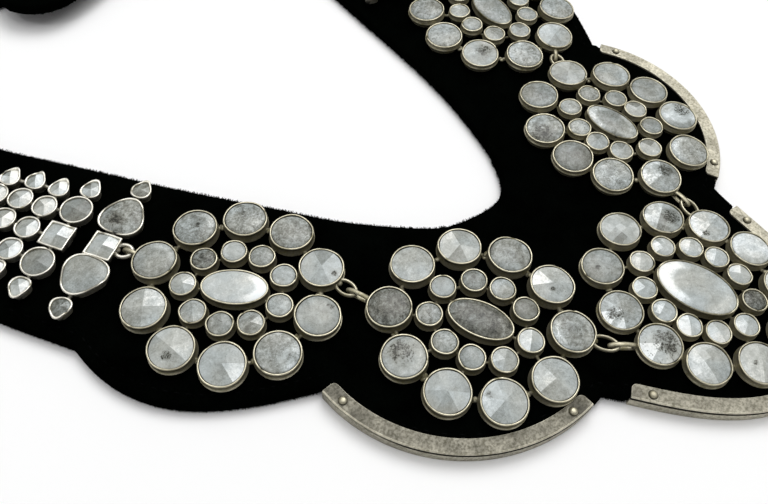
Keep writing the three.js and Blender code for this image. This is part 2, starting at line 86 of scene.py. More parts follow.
def spot(x, y, z=0.0):
    """A plan place in millimetres as a point of the frame in metres."""
    return Vector((x * MM + ORIGIN.x, y * MM + ORIGIN.y, z * MM))


# Rosettes: middle, direction of the oval, its half-sizes, cup scale, and for each ring the number of
# stones, half-size along and across the oval, and starting angle.
ROSETTES = {
    "left_back": dict(at=(-60.9, 88.3), axis=119, oval=(7.5, 4.3), scale=1, way=1,
                      outer=(10, 20.4, 19.0, 2.8), inner=(9, 11.7, 9.6, 11.3)),
    "left_front": dict(at=(-36.2, 38.0), axis=98, oval=(7.6, 4.2), scale=1, way=1,
                       outer=(10, 20.8, 19.2, 0), inner=(9, 11.9, 9.7, -10)),
    "centre": dict(at=(-0.1, 0.3), axis=91.5, oval=(9.4, 6.1), scale=0.963, way=1,
                   outer=(11, 22.4, 18.9, 9.9), inner=(11, 13.5, 10.8, 26.1)),
    "right_front": dict(at=(36.8, 38.0), axis=81.5, oval=(7.4, 4.1), scale=1, way=-1,
                        outer=(10, 21.4, 17.6, 3.0), inner=(9, 12.3, 8.7, -6.1)),
    "right_back": dict(at=(58.7, 87.2), axis=65, oval=(7.6, 4.3), scale=1, way=-1,
                       outer=(10, 21.2, 19.6, -8.2), inner=(9, 12.0, 9.8, -17.1)),
}
LOOSE = ("left_front", "centre", "right_front")

# Each stone's own look: cut, how pale it is, how granular and how flecked (0 to 1), its painted highlights
# and painted shade as (direction, half-width in degrees, change), and, where it has one, a dark inclusion as
# (direction, reach, size, strength). Outer ring, then inner ring, then the oval.
STONES = {
    "left_back": [
        ("smooth", 0.45, 0.6, 0.1, [(60, 40, 0.05)]),
        ("smooth", 0.45, 0.5, 0.3, [(-12, 40, 0.28)], (-30, 0.15, 0.2, 0.8)),
        ("smooth", 0.48, 0.25, 0.1, [(0, 48, 0.16)]),
        ("cross", 0.56, 0.2, 0.2, [(-8, 50, 0.26), (82, 30, 0.08)], (-30, 0.4, 0.3, 0.5)),
        ("star", 0.58, 0.1, 0.15, [(-66, 32, 0.33), (0, 30, 0.12), (55, 25, 0.05)], (195, 0.42, 0.3, 1)),
        ("star", 0.57, 0.1, 0.2, [(-82, 34, 0.28)]),
        ("smooth", 0.52, 0.45, 0.35, [(-78, 42, 0.26)], (-75, 0.6, 0.3, 0.5)),
        ("smooth", 0.54, 0.1, 0.45, [(140, 40, 0.04)], (-18, 0.72, 0.22, 0.9)),
        ("star", 0.60, 0.1, 0.1, [(30, 25, -0.12), (-60, 40, 0.06)], (-84, 0.72, 0.2, 1)),
        ("smooth", 0.43, 0.55, 0.1, [(30, 40, 0.04)]),
        ("smooth", 0.62, 0.1, 0.0, [(120, 50, 0.12)]),
        ("smooth", 0.27, 0.7, 0.3, [(30, 50, 0.06)], (80, 0.3, 0.5, 0.5)),
        ("star", 0.56, 0.1, 0.0, [(-36, 32, 0.4), (24, 30, 0.12)]),
        ("cross", 0.53, 0.2, 0.1, [(-90, 35, 0.12)]),
        ("smooth", 0.46, 0.25, 0.1, [(210, 40, 0.05)], (30, 0.1, 0.4, 0.5)),
        ("star", 0.50, 0.3, 0.1, [(-40, 32, 0.36)]),
        ("smooth", 0.55, 0.3, 0.1, [(-60, 50, 0.08)]),
        ("smooth", 0.58, 0.15, 0.1, [(210, 50, 0.12)]),
        ("smooth", 0.47, 0.35, 0.1, [(-60, 50, 0.04)]),
        ("smooth", 0.72, 0.05, 0.05, [(-62, 40, 0.3), (200, 60, 0.04)], (72, 0.4, 0.16, 0.9)),
    ],
    "left_front": [
        ("smooth", 0.45, 0.45, 0.25, [(-40, 50, 0.05)], (-80, 0.4, 0.4, 0.4)),
        ("star", 0.66, 0.15, 0.05, [(204, 20, -0.24), (-6, 30, -0.12), (100, 60, 0.08)]),
        ("cross", 0.56, 0.2, 0.1, [(160, 45, 0.09)], (-60, 0.5, 0.3, 0.3)),
        ("smooth", 0.25, 0.5, 0.2, [(-60, 50, 0.05)], (-10, 0.4, 0.5, 0.5)),
        ("smooth", 0.60, 0.2, 0.25, [(-110, 45, 0.12)], (60, 0.22, 0.8, 1)),
        ("star", 0.57, 0.05, 0.0, [(90, 35, 0.1), (-100, 14, 0.14), (200, 30, -0.04)]),
        ("star", 0.58, 0.1, 0.2, [(140, 32, 0.3), (80, 20, 0.08)], (98, 0.72, 0.26, 0.9)),
        ("cross", 0.57, 0.15, 0.05, [(118, 75, 0.34)], (-60, 0.4, 0.3, 0.3)),
        ("smooth", 0.45, 0.45, 0.3, [(140, 46, 0.4), (-45, 40, 0.14)], (-90, 0.2, 0.6, 0.4)),
        ("star", 0.58, 0.2, 0.15, [(100, 34, 0.34), (-112, 20, 0.26), (40, 25, 0.1)], (204, 0.34, 0.16, 1)),
        ("smooth", 0.55, 0.3, 0.1, [(120, 45, 0.12)]),
        ("smooth", 0.38, 0.4, 0.2, [(-60, 50, 0.06)], (60, 0.22, 0.3, 0.9)),
        ("smooth", 0.55, 0.1, 0.0, [(165, 50, 0.12)]),
        ("smooth", 0.45, 0.55, 0.15, [(90, 50, 0.1)], (0, 0.1, 0.5, 0.4)),
        ("smooth", 0.49, 0.55, 0.1, [(60, 50, 0.08)]),
        ("smooth", 0.50, 0.15, 0.0, [(-40, 50, 0.05)]),
        ("star", 0.58, 0.15, 0.0, [(106, 34, 0.3), (166, 30, 0.12)]),
        ("star", 0.60, 0.1, 0.0, [(112, 64, 0.32)]),
        ("smooth", 0.33, 0.15, 0.1, [(210, 50, 0.05)]),
        ("smooth", 0.23, 0.5, 0.3, [(75, 45, 0.08), (-75, 45, 0.05)], (0, 0.1, 0.6, 0.4)),
    ],
    "centre": [
        ("brilliant", 0.60, 0.25, 0.3, [(104, 56, 0.34), (14, 25, 0.12)], (182, 0.62, 0.24, 0.9)),
        ("checker", 0.54, 0.2, 0.4, [(100, 70, 0.36), (170, 18, -0.2)], (-62, 0.4, 0.66, 1)),
        ("checker", 0.66, 0.05, 0.0, [(166, 22, -0.14), (206, 18, -0.26), (-5, 25, -0.1)]),
        ("smooth", 0.45, 0.3, 0.45, [(120, 40, 0.05)], (150, 0.35, 0.2, 0.7)),
        ("brilliant", 0.47, 0.3, 0.7, [(150, 44, 0.5), (60, 20, 0.1)], (150, 0.4, 0.46, 1)),
        ("star", 0.60, 0.15, 1, [(150, 44, 0.42), (215, 20, 0.2)], (-40, 0.3, 0.7, 1)),
        ("checker", 0.60, 0.1, 0.1, [(150, 60, 0.34), (60, 26, 0.1)], (-10, 0.25, 0.14, 0.6)),
        ("star", 0.62, 0.15, 0.1, [(120, 64, 0.14)], (130, 0.32, 0.18, 0.9)),
        ("cross", 0.62, 0.2, 0.2, [(140, 50, 0.2)]),
        ("star", 0.62, 0.2, 0.3, [(110, 50, 0.2)]),
        ("smooth", 0.84, 0.2, 0.05, [(205, 58, -0.16)]),
        ("checker", 0.70, 0.1, 0.0, [(100, 56, 0.2), (0, 20, -0.12)]),
        ("checker", 0.72, 0.05, 0.0, [(60, 20, -0.14), (120, 35, 0.2)]),
        ("checker", 0.68, 0.1, 0.0, [(110, 80, 0.2)]),
        ("cross", 0.62, 0.1, 0.0, [(110, 60, 0.22), (0, 30, -0.05)]),
        ("checker", 0.62, 0.1, 0.0, [(90, 52, 0.28)]),
        ("star", 0.72, 0.05, 0.0, [(120, 75, 0.24), (10, 30, -0.14)]),
        ("cross", 0.70, 0.05, 0.0, [(190, 60, 0.2), (40, 30, -0.06)]),
        ("brilliant", 0.68, 0.1, 0.0, [(120, 80, 0.2), (0, 25, -0.08)]),
        ("smooth", 0.22, 0.7, 0.3, [(100, 50, 0.06)]),
        ("cross", 0.62, 0.05, 0.0, [(62, 70, 0.34)]),
        ("checker", 0.68, 0.1, 0.0, [(100, 60, 0.2)]),
        ("smooth", 0.62, 0.1, 0.1, [(112, 56, 0.42), (-100, 40, 0.1)], (-72, 0.7, 0.5, 0.45)),
    ],
    "right_front": [
        ("smooth", 0.35, 0.25, 0.25, [(30, 50, 0.04)]),
        ("smooth", 0.50, 0.7, 0.6, [(90, 45, 0.16)], (190, 0.4, 0.7, 1)),
        ("smooth", 0.43, 0.4, 0.15, [(120, 50, 0.04)]),
        ("star", 0.59, 0.15, 0.05, [(168, 24, -0.22), (48, 30, 0.1), (-72, 30, 0.06)]),
        ("smooth", 0.56, 0.25, 0.1, [(-60, 50, 0.1)]),
        ("smooth", 0.46, 0.2, 0.05, [(210, 50, 0.04)]),
        ("smooth", 0.76, 0.2, 0.45, [(212, 52, -0.3)], (5, 0.5, 0.66, 1)),
        ("smooth", 0.52, 0.5, 0.2, [(92, 48, 0.3)]),
        ("brilliant", 0.49, 0.35, 0.7, [(95, 56, 0.42)], (0, 0.42, 0.5, 0.9)),
        ("smooth", 0.52, 0.6, 0.15, [(112, 48, 0.18)]),
        ("star", 0.55, 0.2, 0.0, [(210, 30, 0.14), (30, 30, -0.1)]),
        ("smooth", 0.57, 0.55, 0.2, [(200, 50, 0.1)]),
        ("smooth", 0.58, 0.45, 0.1, [(120, 50, 0.08)]),
        ("smooth", 0.45, 0.5, 0.15, [(-60, 50, 0.05)]),
        ("smooth", 0.44, 0.2, 0.0, [(-60, 50, 0.04)]),
        ("cross", 0.60, 0.15, 0.0, [(30, 30, -0.2), (210, 40, 0.1)]),
        ("smooth", 0.45, 0.2, 0.0, [(210, 50, 0.06)]),
        ("cross", 0.62, 0.1, 0.0, [(40, 30, -0.18), (180, 40, 0.1)]),
        ("star", 0.57, 0.2, 0.1, [(30, 28, -0.16), (210, 32, 0.1)]),
        ("smooth", 0.43, 0.25, 0.1, [(108, 52, 0.42), (-74, 50, 0.2)]),
    ],
    "right_back": [
        ("smooth", 0.55, 0.45, 0.2, [(120, 50, 0.1)]),
        ("smooth", 0.45, 0.5, 0.2, [(30, 50, 0.05)]),
        ("cross", 0.60, 0.2, 0.1, [(30, 50, 0.15)]),
        ("star", 0.60, 0.2, 0.1, [(30, 50, 0.15)]),
        ("cross", 0.60, 0.2, 0.1, [(60, 50, 0.15)]),
        ("star", 0.60, 0.2, 0.1, [(60, 50, 0.15)]),
        ("smooth", 0.52, 0.4, 0.3, [(60, 50, 0.1)]),
        ("star", 0.64, 0.15, 0.2, [(210, 32, -0.2), (60, 32, 0.14)]),
        ("smooth", 0.56, 0.55, 0.15, [(90, 50, 0.12)]),
        ("star", 0.60, 0.2, 0.35, [(120, 50, 0.2)], (-10, 0.25, 0.6, 1)),
        ("smooth", 0.56, 0.3, 0.1, [(60, 50, 0.1)]),
        ("star", 0.58, 0.2, 0.1, [(60, 34, 0.2)]),
        ("cross", 0.60, 0.2, 0.1, [(20, 40, 0.15)]),
        ("star", 0.60, 0.2, 0.1, [(40, 40, 0.15)]),
        ("cross", 0.60, 0.2, 0.1, [(40, 40, 0.15)]),
        ("star", 0.60, 0.2, 0.1, [(60, 40, 0.15)]),
        ("smooth", 0.56, 0.3, 0.1, [(30, 40, -0.12)]),
        ("cross", 0.57, 0.2, 0.0, [(30, 34, -0.18)]),
        ("cross", 0.57, 0.2, 0.0, [(30, 34, -0.18)]),
        ("smooth", 0.50, 0.3, 0.1, [(100, 50, 0.16)]),
    ],
}

# Lattices of small stones on the arms; each row gives its place along the arm, its slant, and its
# stones from the neck side outwards.
LATTICES = {
    "left": dict(at=(-69.4, 120.8), turn=19.6, neck_side=1),
    "right": dict(at=(61, 119.5), turn=-11.3, neck_side=-1),
}
LATTICE_ROWS = [
    (0, 0.11, [(17.4, "drop"), (8.8, "trillion"), (0, "square"), (-8.2, "trillion"), (-17.3, "drop")]),
    (11.5, 0.11, [(14.3, "drop"), (7.9, "wide"), (-0.1, "square"), (-7.9, "wide"), (-14.8, "drop")]),
    (19.3, 0.14, [(12.7, "drop"), (6.9, "round"), (0.2, "round"), (-6.3, "round"), (-12, "drop")]),
    (26.2, 0.16, [(13.2, "drop"), (7.5, "round"), (1.1, "round"), (-5.2, "round"), (-10.6, "drop")]),
    (32.6, 0.16, [(12.7, "drop"), (7.2, "round"), (0.9, "round"), (-4.7, "drop")]),
    (38.9, 0.16, [(10.2, "drop"), (3.9, "drop")]),
]
LATTICE_REACH = {"square": 3.36, "trillion": 5.4, "wide": 3.95, "round": 3.05, "drop": 2.5}
LATTICE_RIM = 6.0
# Where a corner points on the neck side and on the outer side, and the looks of single stones, with
# their painted highlights and painted shade, by row and place.
CORNER_AT = {"trillion": (-5, 169), "drop": (-5, 185), "square": (-5, -5)}
SQUARE_LIGHTS = [(-20, 46, 0.36), (-105, 40, -0.12), (165, 45, 0.1)]
END_LOOK = ("facets", 0.33, 0.3, 0.2, [(-40, 30, 0.25)])
WIDE_LOOK = ("facets", 0.36, 0.1, 0.05, [(90, 40, 0.1), (-30, 40, 0.05)])
LATTICE_LOOKS = {
    (0, 17.4): END_LOOK, (0, -17.3): END_LOOK, (1, 7.9): WIDE_LOOK, (1, -7.9): WIDE_LOOK,
    (0, 8.8): ("smooth", 0.42, 0.6, 0.5, [(30, 50, 0.1)], (170, 0.3, 0.6, 0.5)),
    (0, 0): ("facets", 0.60, 0.1, 0.05, SQUARE_LIGHTS, (-95, 0.35, 0.22, 0.7)),
    (0, -8.2): ("smooth", 0.50, 0.15, 0.2, [(-30, 50, 0.05)]),
    (1, -0.1): ("facets", 0.60, 0.1, 0.05, SQUARE_LIGHTS),
}

# Where the wire loops between neighbouring settings hook into each other, and the cup that a loop
# belongs to where that is not the nearest one.
HOOKS = [(-66.9, 115.6), (-46, 66.3), (-24.2, 10.3), (23.7, 11.5), (52.5, 62.4), (59.8, 114.2)]
LOOP_CUP = {(2, 1): 5}

# Scalloped outer edge as cubic curves, and the points that the neck edge and the arms pass through.
FRONT_NECK, FRONT_RIM = (-1, 51.7), (0, -33)
LOBES = {
    "left": [
        ((-25.5, -31.3), (-31, -0.9), (-35.3, 7.4)),
        ((-60.4, 11), (-76.2, 35.3), (-69.1, 58.9)),
        ((-85.2, 72.6), (-97.9, 85.9), (-91.4, 108.7)),
    ],
    "right": [
        ((24.5, -33), (27.8, -4), (34.5, 6.6)),
        ((59, 9.1), (74.4, 33.3), (66.3, 55.9)),
        ((84, 73.3), (95.5, 87.6), (87.1, 109.6)),
    ],
}
NECK_EDGE = {
    "left": [FRONT_NECK, (-5, 52.4), (-12.5, 55.9), (-19.2, 61.9), (-29.3, 79.5), (-36.6, 97.8),
             (-45.1, 119.6), (-54.3, 145.5), (-62, 168), (-64, 186), (-57, 201), (-44, 210.5),
             (-29, 212.5), (-14, 208.5), (-1, 202.5)],
    "right": [FRONT_NECK, (2.6, 52.9), (7.5, 56.8), (13.2, 64.2), (21.5, 79.5), (28.6, 97.4),
              (35.8, 119.6), (43.5, 144), (47.5, 165), (42.5, 181), (30, 190), (14, 192.5),
              (0, 191), (-11, 190.7)],
}
ARM_RIM = {
    "left": [(-91.4, 108.7), (-98, 138), (-99.5, 164), (-94.5, 191), (-79, 217), (-56, 234.5),
             (-30, 238.5), (-6, 233), (11.5, 225)],
    "right": [(87.1, 109.6), (92, 138), (87.5, 171), (70.5, 198.5), (47, 212.5), (20, 218),
              (0, 217), (-13, 216.5)],
}
ARM_LIFT = {"left": [0] * 9, "right": [0, 0, 0, 0, 1.2, OVERLAP_LIFT, OVERLAP_LIFT, OVERLAP_LIFT]}

# Edge clips: the lobes each one wraps, and how far along them it starts and ends.
CLIPS = {
    "left": [("left", 1, 0.055, 0.985)],
    "centre": [("left", 0, 0.9, 0), ("right", 0, 0, 0.87)],
    "right": [("right", 1, 0.045, 0.97)],
}
# How dark each clip's metal is painted from left to right, and how bright its outward edges are painted as
# worn metal with highlights, at the ends and further in.
CLIP_DARKENING = {"left": (-0.55, -0.55), "centre": (-0.4, 0.0), "right": (-0.05, -0.05)}
CLIP_RUB_AND_HIGHLIGHT = {"left": (0.95, 0.3), "centre": (0.3, 0.6), "right": (0.5, 0.5)}
CLIP_HEIGHT, CLIP_FLANGE, CLIP_SHEET, CLIP_STEP = 3.9, 3.6, 0.6, 1.7
SLIT_LOW, SLIT_MIDDLE, SLIT_HIGH = 2.66, 3.08, 3.46
CLIP_PROFILE = [
    (0.06, 0.0), (0.0, 0.12), (0.0, 1.5), (0.0, 2.72), (0.05, 2.8), (0.55, 2.84), (0.55, 3.3), (0.1, 3.36),
    (0.08, 3.6), (0.14, 3.78), (0.3, 3.9), (0.42, 3.93), (0.6, 3.9), (1.2, 3.92), (2.4, 3.92),
    (CLIP_FLANGE, 3.9), (CLIP_FLANGE, CLIP_HEIGHT - CLIP_SHEET), (CLIP_SHEET, CLIP_HEIGHT - CLIP_SHEET),
    (CLIP_SHEET, CLIP_SHEET), (CLIP_FLANGE, CLIP_SHEET), (CLIP_FLANGE, 0.0),
]
RIVET_FROM_END = 4.6
SNAP_AT = (-5, 211)

# Round pieces and cup walls as rings of (inset, height), and the polish up a wall by share of its height,
# which paints light and shade besides the worn metal: stem painted dark as shade under the flare, foot worn
# bright with a painted highlight, dull wall with a band of painted shade under the rim, rim worn bright with
# a painted highlight.
RIVET_RINGS = [(0, 3.2), (0, 3.88), (-0.72, 3.9), (-0.7, 3.935), (-0.52, 3.95), (-0.52, 4.12),
               (-0.46, 4.32), (-0.3, 4.5), (-0.05, 4.62), (0.2, 4.66)]
SNAP_RINGS = [(0, 3.3), (-0.02, 3.42), (0.3, 3.5), (2.2, 3.52), (2.4, 3.9), (2.7, 4.05), (3.4, 4.1),
              (3.7, 3.9), (4.4, 3.86)]
BEZEL_WALL = [(0.55, 3.30), (0.50, 4.3), (-0.12, 4.4), (-0.22, 4.44), (-0.26, 4.52), (-0.25, 4.64),
              (-0.15, 4.78), (-0.08, 5.0), (0.0, 5.35), (0.05, 5.7), (0.07, 5.9), (0.03, 6.0),
              (-0.03, 6.12), (-0.05, 6.34), (0.01, 6.46), (0.12, 6.52), (0.27, 6.51), (0.37, 6.42),
              (0.4, 6.2), (0.42, 5.3), (0.80, 5.1)]
COLLET_WALL = [(0.62, 3.30), (0.60, 3.6), (0.42, 4.6), (0.2, 5.6), (0.03, 5.95), (-0.03, 6.12), (-0.05, 6.34),
               (0.02, 6.46), (0.12, 6.52), (0.3, 6.51), (0.41, 6.41), (0.44, 6.2), (0.46, 5.3), (0.72, 5.1)]
WALL_POLISH_AND_LIGHT = (
    (-0.3, 0.0, 0.02, 0.06, 0.12, 0.18, 0.3, 0.45, 0.62, 0.71, 0.77, 0.82, 0.92, 0.97, 1.0),
    (-0.97, -0.9, 0.5, 0.95, 0.9, 0.35, -0.1, -0.25, -0.5, -0.8, -0.92, -0.85, 0.1, 0.9, 1.0))
# On a tall foot: stem painted dark as shade, foot a little lighter, upper wall painted bright as a highlight
# where it faces up, and the rim worn bright.
UPPER_LIGHT_AND_RUB = ((-0.1, 0.0, 0.05, 0.12, 0.3, 0.5, 0.66, 0.8, 0.88, 0.95, 1.0),
             (-0.95, -0.6, 0.5, 0.0, -0.2, 0.1, 0.8, 1.0, 0.7, 1, 1))


# ------------------------------------------------------------------ bench tools
def put_down():
    """Nothing is left selected."""
    if bpy.context.object and bpy.context.object.mode != "OBJECT":
        bpy.ops.object.mode_set(mode="OBJECT")
    bpy.ops.object.select_all(action="DESELECT")


def take(piece):
    put_down()
    piece.select_set(True)
    bpy.context.view_layer.objects.active = piece


def open_up(piece):
    """Takes a piece into edit mode with all of it selected."""
    take(piece)
    bpy.ops.object.mode_set(mode="EDIT")
    bpy.ops.mesh.select_all(action="SELECT")
    return piece


def pick(piece, wanted, kind="VERT"):
    """In edit mode, selects the vertices or edges whose ends are wanted."""
    bpy.ops.mesh.select_mode(type=kind)
    bpy.ops.mesh.select_all(action="DESELECT")
    bm = bmesh.from_edit_mesh(piece.data)
    for part in bm.verts if kind == "VERT" else bm.edges:
        part.select = wanted(*([part.co] if kind == "VERT" else [v.co for v in part.verts]))
    bm.select_flush_mode()
    bmesh.update_edit_mesh(piece.data)


def resize(x, y, z, about=(0, 0, 0)):
    bpy.ops.transform.resize(value=(x, y, z), center_override=about)


def close_shell(smooth):
    """Merges doubles, turns the faces outwards, leaves edit mode and smooths up to this angle."""
    bpy.ops.mesh.select_mode(type="VERT")
    bpy.ops.mesh.select_all(action="SELECT")
    bpy.ops.mesh.remove_doubles(threshold=1e-7)
    bpy.ops.mesh.normals_make_consistent(inside=False)
    bpy.ops.object.mode_set(mode="OBJECT")
    bpy.ops.object.shade_smooth_by_angle(angle=radians(smooth))


def rise(x, y, z):
    bpy.ops.mesh.extrude_region_move(TRANSFORM_OT_translate={"value": (x, y, z)})


def raise_rings(half_x, half_y, rings):
    """Extrudes the picked face up through rings, each (inset, height), on a form of these half-sizes."""
    before, height = rings[0]
    for inset, z in rings[1:]:
        rise(0, 0, (z - height) * MM)
        resize((half_x - inset) / (half_x - before), (half_y - inset) / (half_y - before), 1)
        before, height = inset, z


def form(sides, half_x, half_y, z, squeeze=None):
    """A filled outline at height z to raise walls from; squeeze changes its reach by direction."""
    put_down()
    bpy.ops.mesh.primitive_circle_add(vertices=sides, radius=1, fill_type="NGON", location=(0, 0, 0))
    piece = bpy.context.object
    for v in piece.data.vertices:
        reach = squeeze(math.atan2(v.co.y, v.co.x)) if squeeze else 1
        v.co = Vector((v.co.x * half_x * reach, v.co.y * half_y * reach, z)) * MM
    return open_up(piece)


def rod(sides, radius, depth):
    """A rod along X, centred."""
    put_down()
    bpy.ops.mesh.primitive_cylinder_add(vertices=sides, radius=radius * MM, depth=depth * MM,
                                        location=(0, 0, 0), rotation=(0, radians(90), 0))
    bpy.ops.object.transform_apply(location=True, rotation=True, scale=True)
    return open_up(bpy.context.object)


def mark(mesh, name, value):
    """A number at each vertex, from its place."""
    layer = mesh.attributes.new(name, "FLOAT", "POINT")
    layer.data.foreach_set("value", np.array([value(v.co / MM) for v in mesh.vertices], np.float32))


def set_out(name, data):
    """An object in the scene that holds this data."""
    piece = bpy.data.objects.new(name, data)
    bpy.context.scene.collection.objects.link(piece)
    return piece


def sewn_up(points, faces, smooth):
    """A piece from plan places in millimetres and the faces between them."""
    mesh = bpy.data.meshes.new("cloth")
    mesh.from_pydata([spot(*p) for p in points], [], faces)
    piece = open_up(set_out("cloth", mesh))
    close_shell(smooth)
    return piece


def turned_at(place, angle):
    """Lays something at this place, turned by this angle."""
    return Matrix.Translation(place) @ Matrix.Rotation(angle, 4, "Z")


def copy_of(pattern, matrix):
    """A copy with its own mesh, placed in the mesh."""
    mesh = pattern.data.copy()
    mesh.transform(matrix)
    if matrix.to_3x3().determinant() < 0:
        mesh.flip_normals()
    return set_out("copy", mesh)


def gather(name, parts, material, node):
    """Joins parts into one named piece that stands for this node."""
    take(parts[0])
    for part in parts:
        part.select_set(True)
    if len(parts) > 1:
        bpy.ops.object.join()
    return dress(parts[0], name, material, node)


def dress(piece, name, material, node):
    piece.name = piece.data.name = name
    piece.data.materials.clear()
    piece.data.materials.append(material)
    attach(piece, "root")
    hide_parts(node)
    return piece


def clamp(value):
    return min(1, max(0, value))


def apart(a, b, whole=360):
    """The angle between two directions."""
    return abs((a - b + whole / 2) % whole - whole / 2)


def mark_rubbed_and_highlit_edges(mesh, base, lowest, rub_and_highlight):
    """The polish at each face corner: narrow faces along outward edges are worn bright and painted as
    highlights, hollows are painted nearly black.
    """
    bm = bmesh.new()
    bm.from_mesh(mesh)
    layer = bm.loops.layers.float.new("polish")
    for face in bm.faces:
        around = sum(edge.calc_length() for edge in face.edges)
        turned = sum(edge.calc_length() * math.degrees(edge.calc_face_angle(0)) for edge in face.edges
                     if edge.is_convex)
        middle = face.calc_center_median()
        rubbed_and_highlit = rub_and_highlight(middle) * clamp((turned / around - 13) / 12) if middle.z > lowest * MM else 0
        for loop in face.loops:
            hollow = any(not edge.is_convex and math.degrees(edge.calc_face_angle(0)) > 25
                         for edge in loop.vert.link_edges)
            dull = -0.95 if hollow else base(loop.vert.co)
            loop[layer] = dull + (1 - dull) * rubbed_and_highlit
    bm.to_mesh(mesh)
    bm.free()


# ------------------------------------------------------------------ shader nodes
def fill(node, inputs):
    """Links values into a node's inputs, and sets plain numbers and colours there."""
    for name, value in inputs.items():
        if isinstance(value, Value):
            node.id_data.links.new(value.socket, node.inputs[name])
        else:
            node.inputs[name].default_value = value
    return node


def add(tree, kind, inputs=None, **settings):
    node = tree.nodes.new(kind)
    for name, setting in settings.items():
        setattr(node, name, setting)
    return fill(node, inputs or {})


def add_between(parts, kind, inputs, output=0, **settings):
    """Adds a node in the tree that these parts belong to, and gives its output."""
    tree = next(part.socket.id_data for part in parts if isinstance(part, Value))
    return Value(add(tree, kind, inputs, **settings).outputs[output])


def maths(operation, *parts):
    return add_between(parts, "ShaderNodeMath", dict(enumerate(parts)), operation=operation)


def mix(share, a, b, blend="MIX"):
    """Mixes two colours; 6 and 7 are the node's colour inputs and 2 its colour output."""
    return add_between((share, a, b), "ShaderNodeMix", {0: share, 6: a, 7: b}, 2,
                       data_type="RGBA", blend_type=blend)


class Value:
    """A value on its way between shader nodes: arithmetic with it adds the nodes that it takes."""

    def __init__(self, socket):
        self.socket = socket

    def __add__(self, other):
        return maths("ADD", self, other)

    def __sub__(self, other):
        return maths("SUBTRACT", self, other)

    def __rsub__(self, other):
        return maths("SUBTRACT", other, self)

    def __mul__(self, other):
        return maths("MULTIPLY", self, other)

    def __truediv__(self, other):
        return maths("DIVIDE", self, other)

    def clamped(self):
        self.socket.node.use_clamp = True
        return self

    def span(self, low, high, to_low=0.0, to_high=1.0):
        inputs = {"Value": self, "From Min": low, "From Max": high, "To Min": to_low, "To Max": to_high}
        return add_between([self], "ShaderNodeMapRange", inputs, clamp=True)

    def noise(self, scale, detail=3.0, rough=0.55, twist=0.0):
        return add_between([self], "ShaderNodeTexNoise", {
            "Vector": self, "Scale": scale, "Detail": detail, "Roughness": rough, "Distortion": twist})


def sockets(**kinds):
    return {name: kind for kind, names in kinds.items() for name in names.split()}


def shared_effect(name, inputs, outputs, build):
    """A shader group with these sockets; build makes its outputs from its inputs."""
    tree = bpy.data.node_groups.new(name, "ShaderNodeTree")
    for in_out, kinds in (("INPUT", inputs), ("OUTPUT", outputs)):
        for socket, kind in kinds.items():
            tree.interface.new_socket(name=socket, in_out=in_out, socket_type=f"NodeSocket{kind}")
    given = tree.nodes.new("NodeGroupInput").outputs
    fill(tree.nodes.new("NodeGroupOutput"), build(**{socket: Value(given[socket]) for socket in inputs}))
    return tree


def tarnish(Where, Polish, Patina, Speckle, Bright, Dark, Olive):
    """Dark olive patina in the hollows and on the walls, bright worn silver on the ridges; a high polish
    input also paints highlights, and a low one paints shade down to near black.
    """
    patches, specks = Where.noise(260, 4, 0.6, 0.4), Where.noise(1500, 3, 0.65)
    pits = Where.noise(3600, 2, 0.6)
    cover = mix(Speckle, patches.span(0.40, 0.66), specks.span(0.42, 0.68)) * 0.8 + Patina
    # Worn bright ridges, and painted highlights where the polish input is high.
    rubbed_and_highlit = maths("MAXIMUM", Polish, 0.0) * patches.span(0.62, 0.36, 0.6, 0.97)
    cover = (cover * (1.0 - rubbed_and_highlit)).clamped()
    colour = mix(cover, Bright, mix(specks.span(0.35, 0.7), Dark, Olive))
    # Painted shade, and the nicks where strips meet: a low polish input darkens the colour towards black.
    painted_shade_and_nicks = (Polish + 1.0).clamped()
    return {"Color": mix(1.0, colour, painted_shade_and_nicks, "MULTIPLY"), "Metallic": 1.0 - cover * 0.55,
            "Roughness": cover * 0.3 + (pits * 0.14 + 0.2), "Height": pits * 0.5 + specks * 0.8}


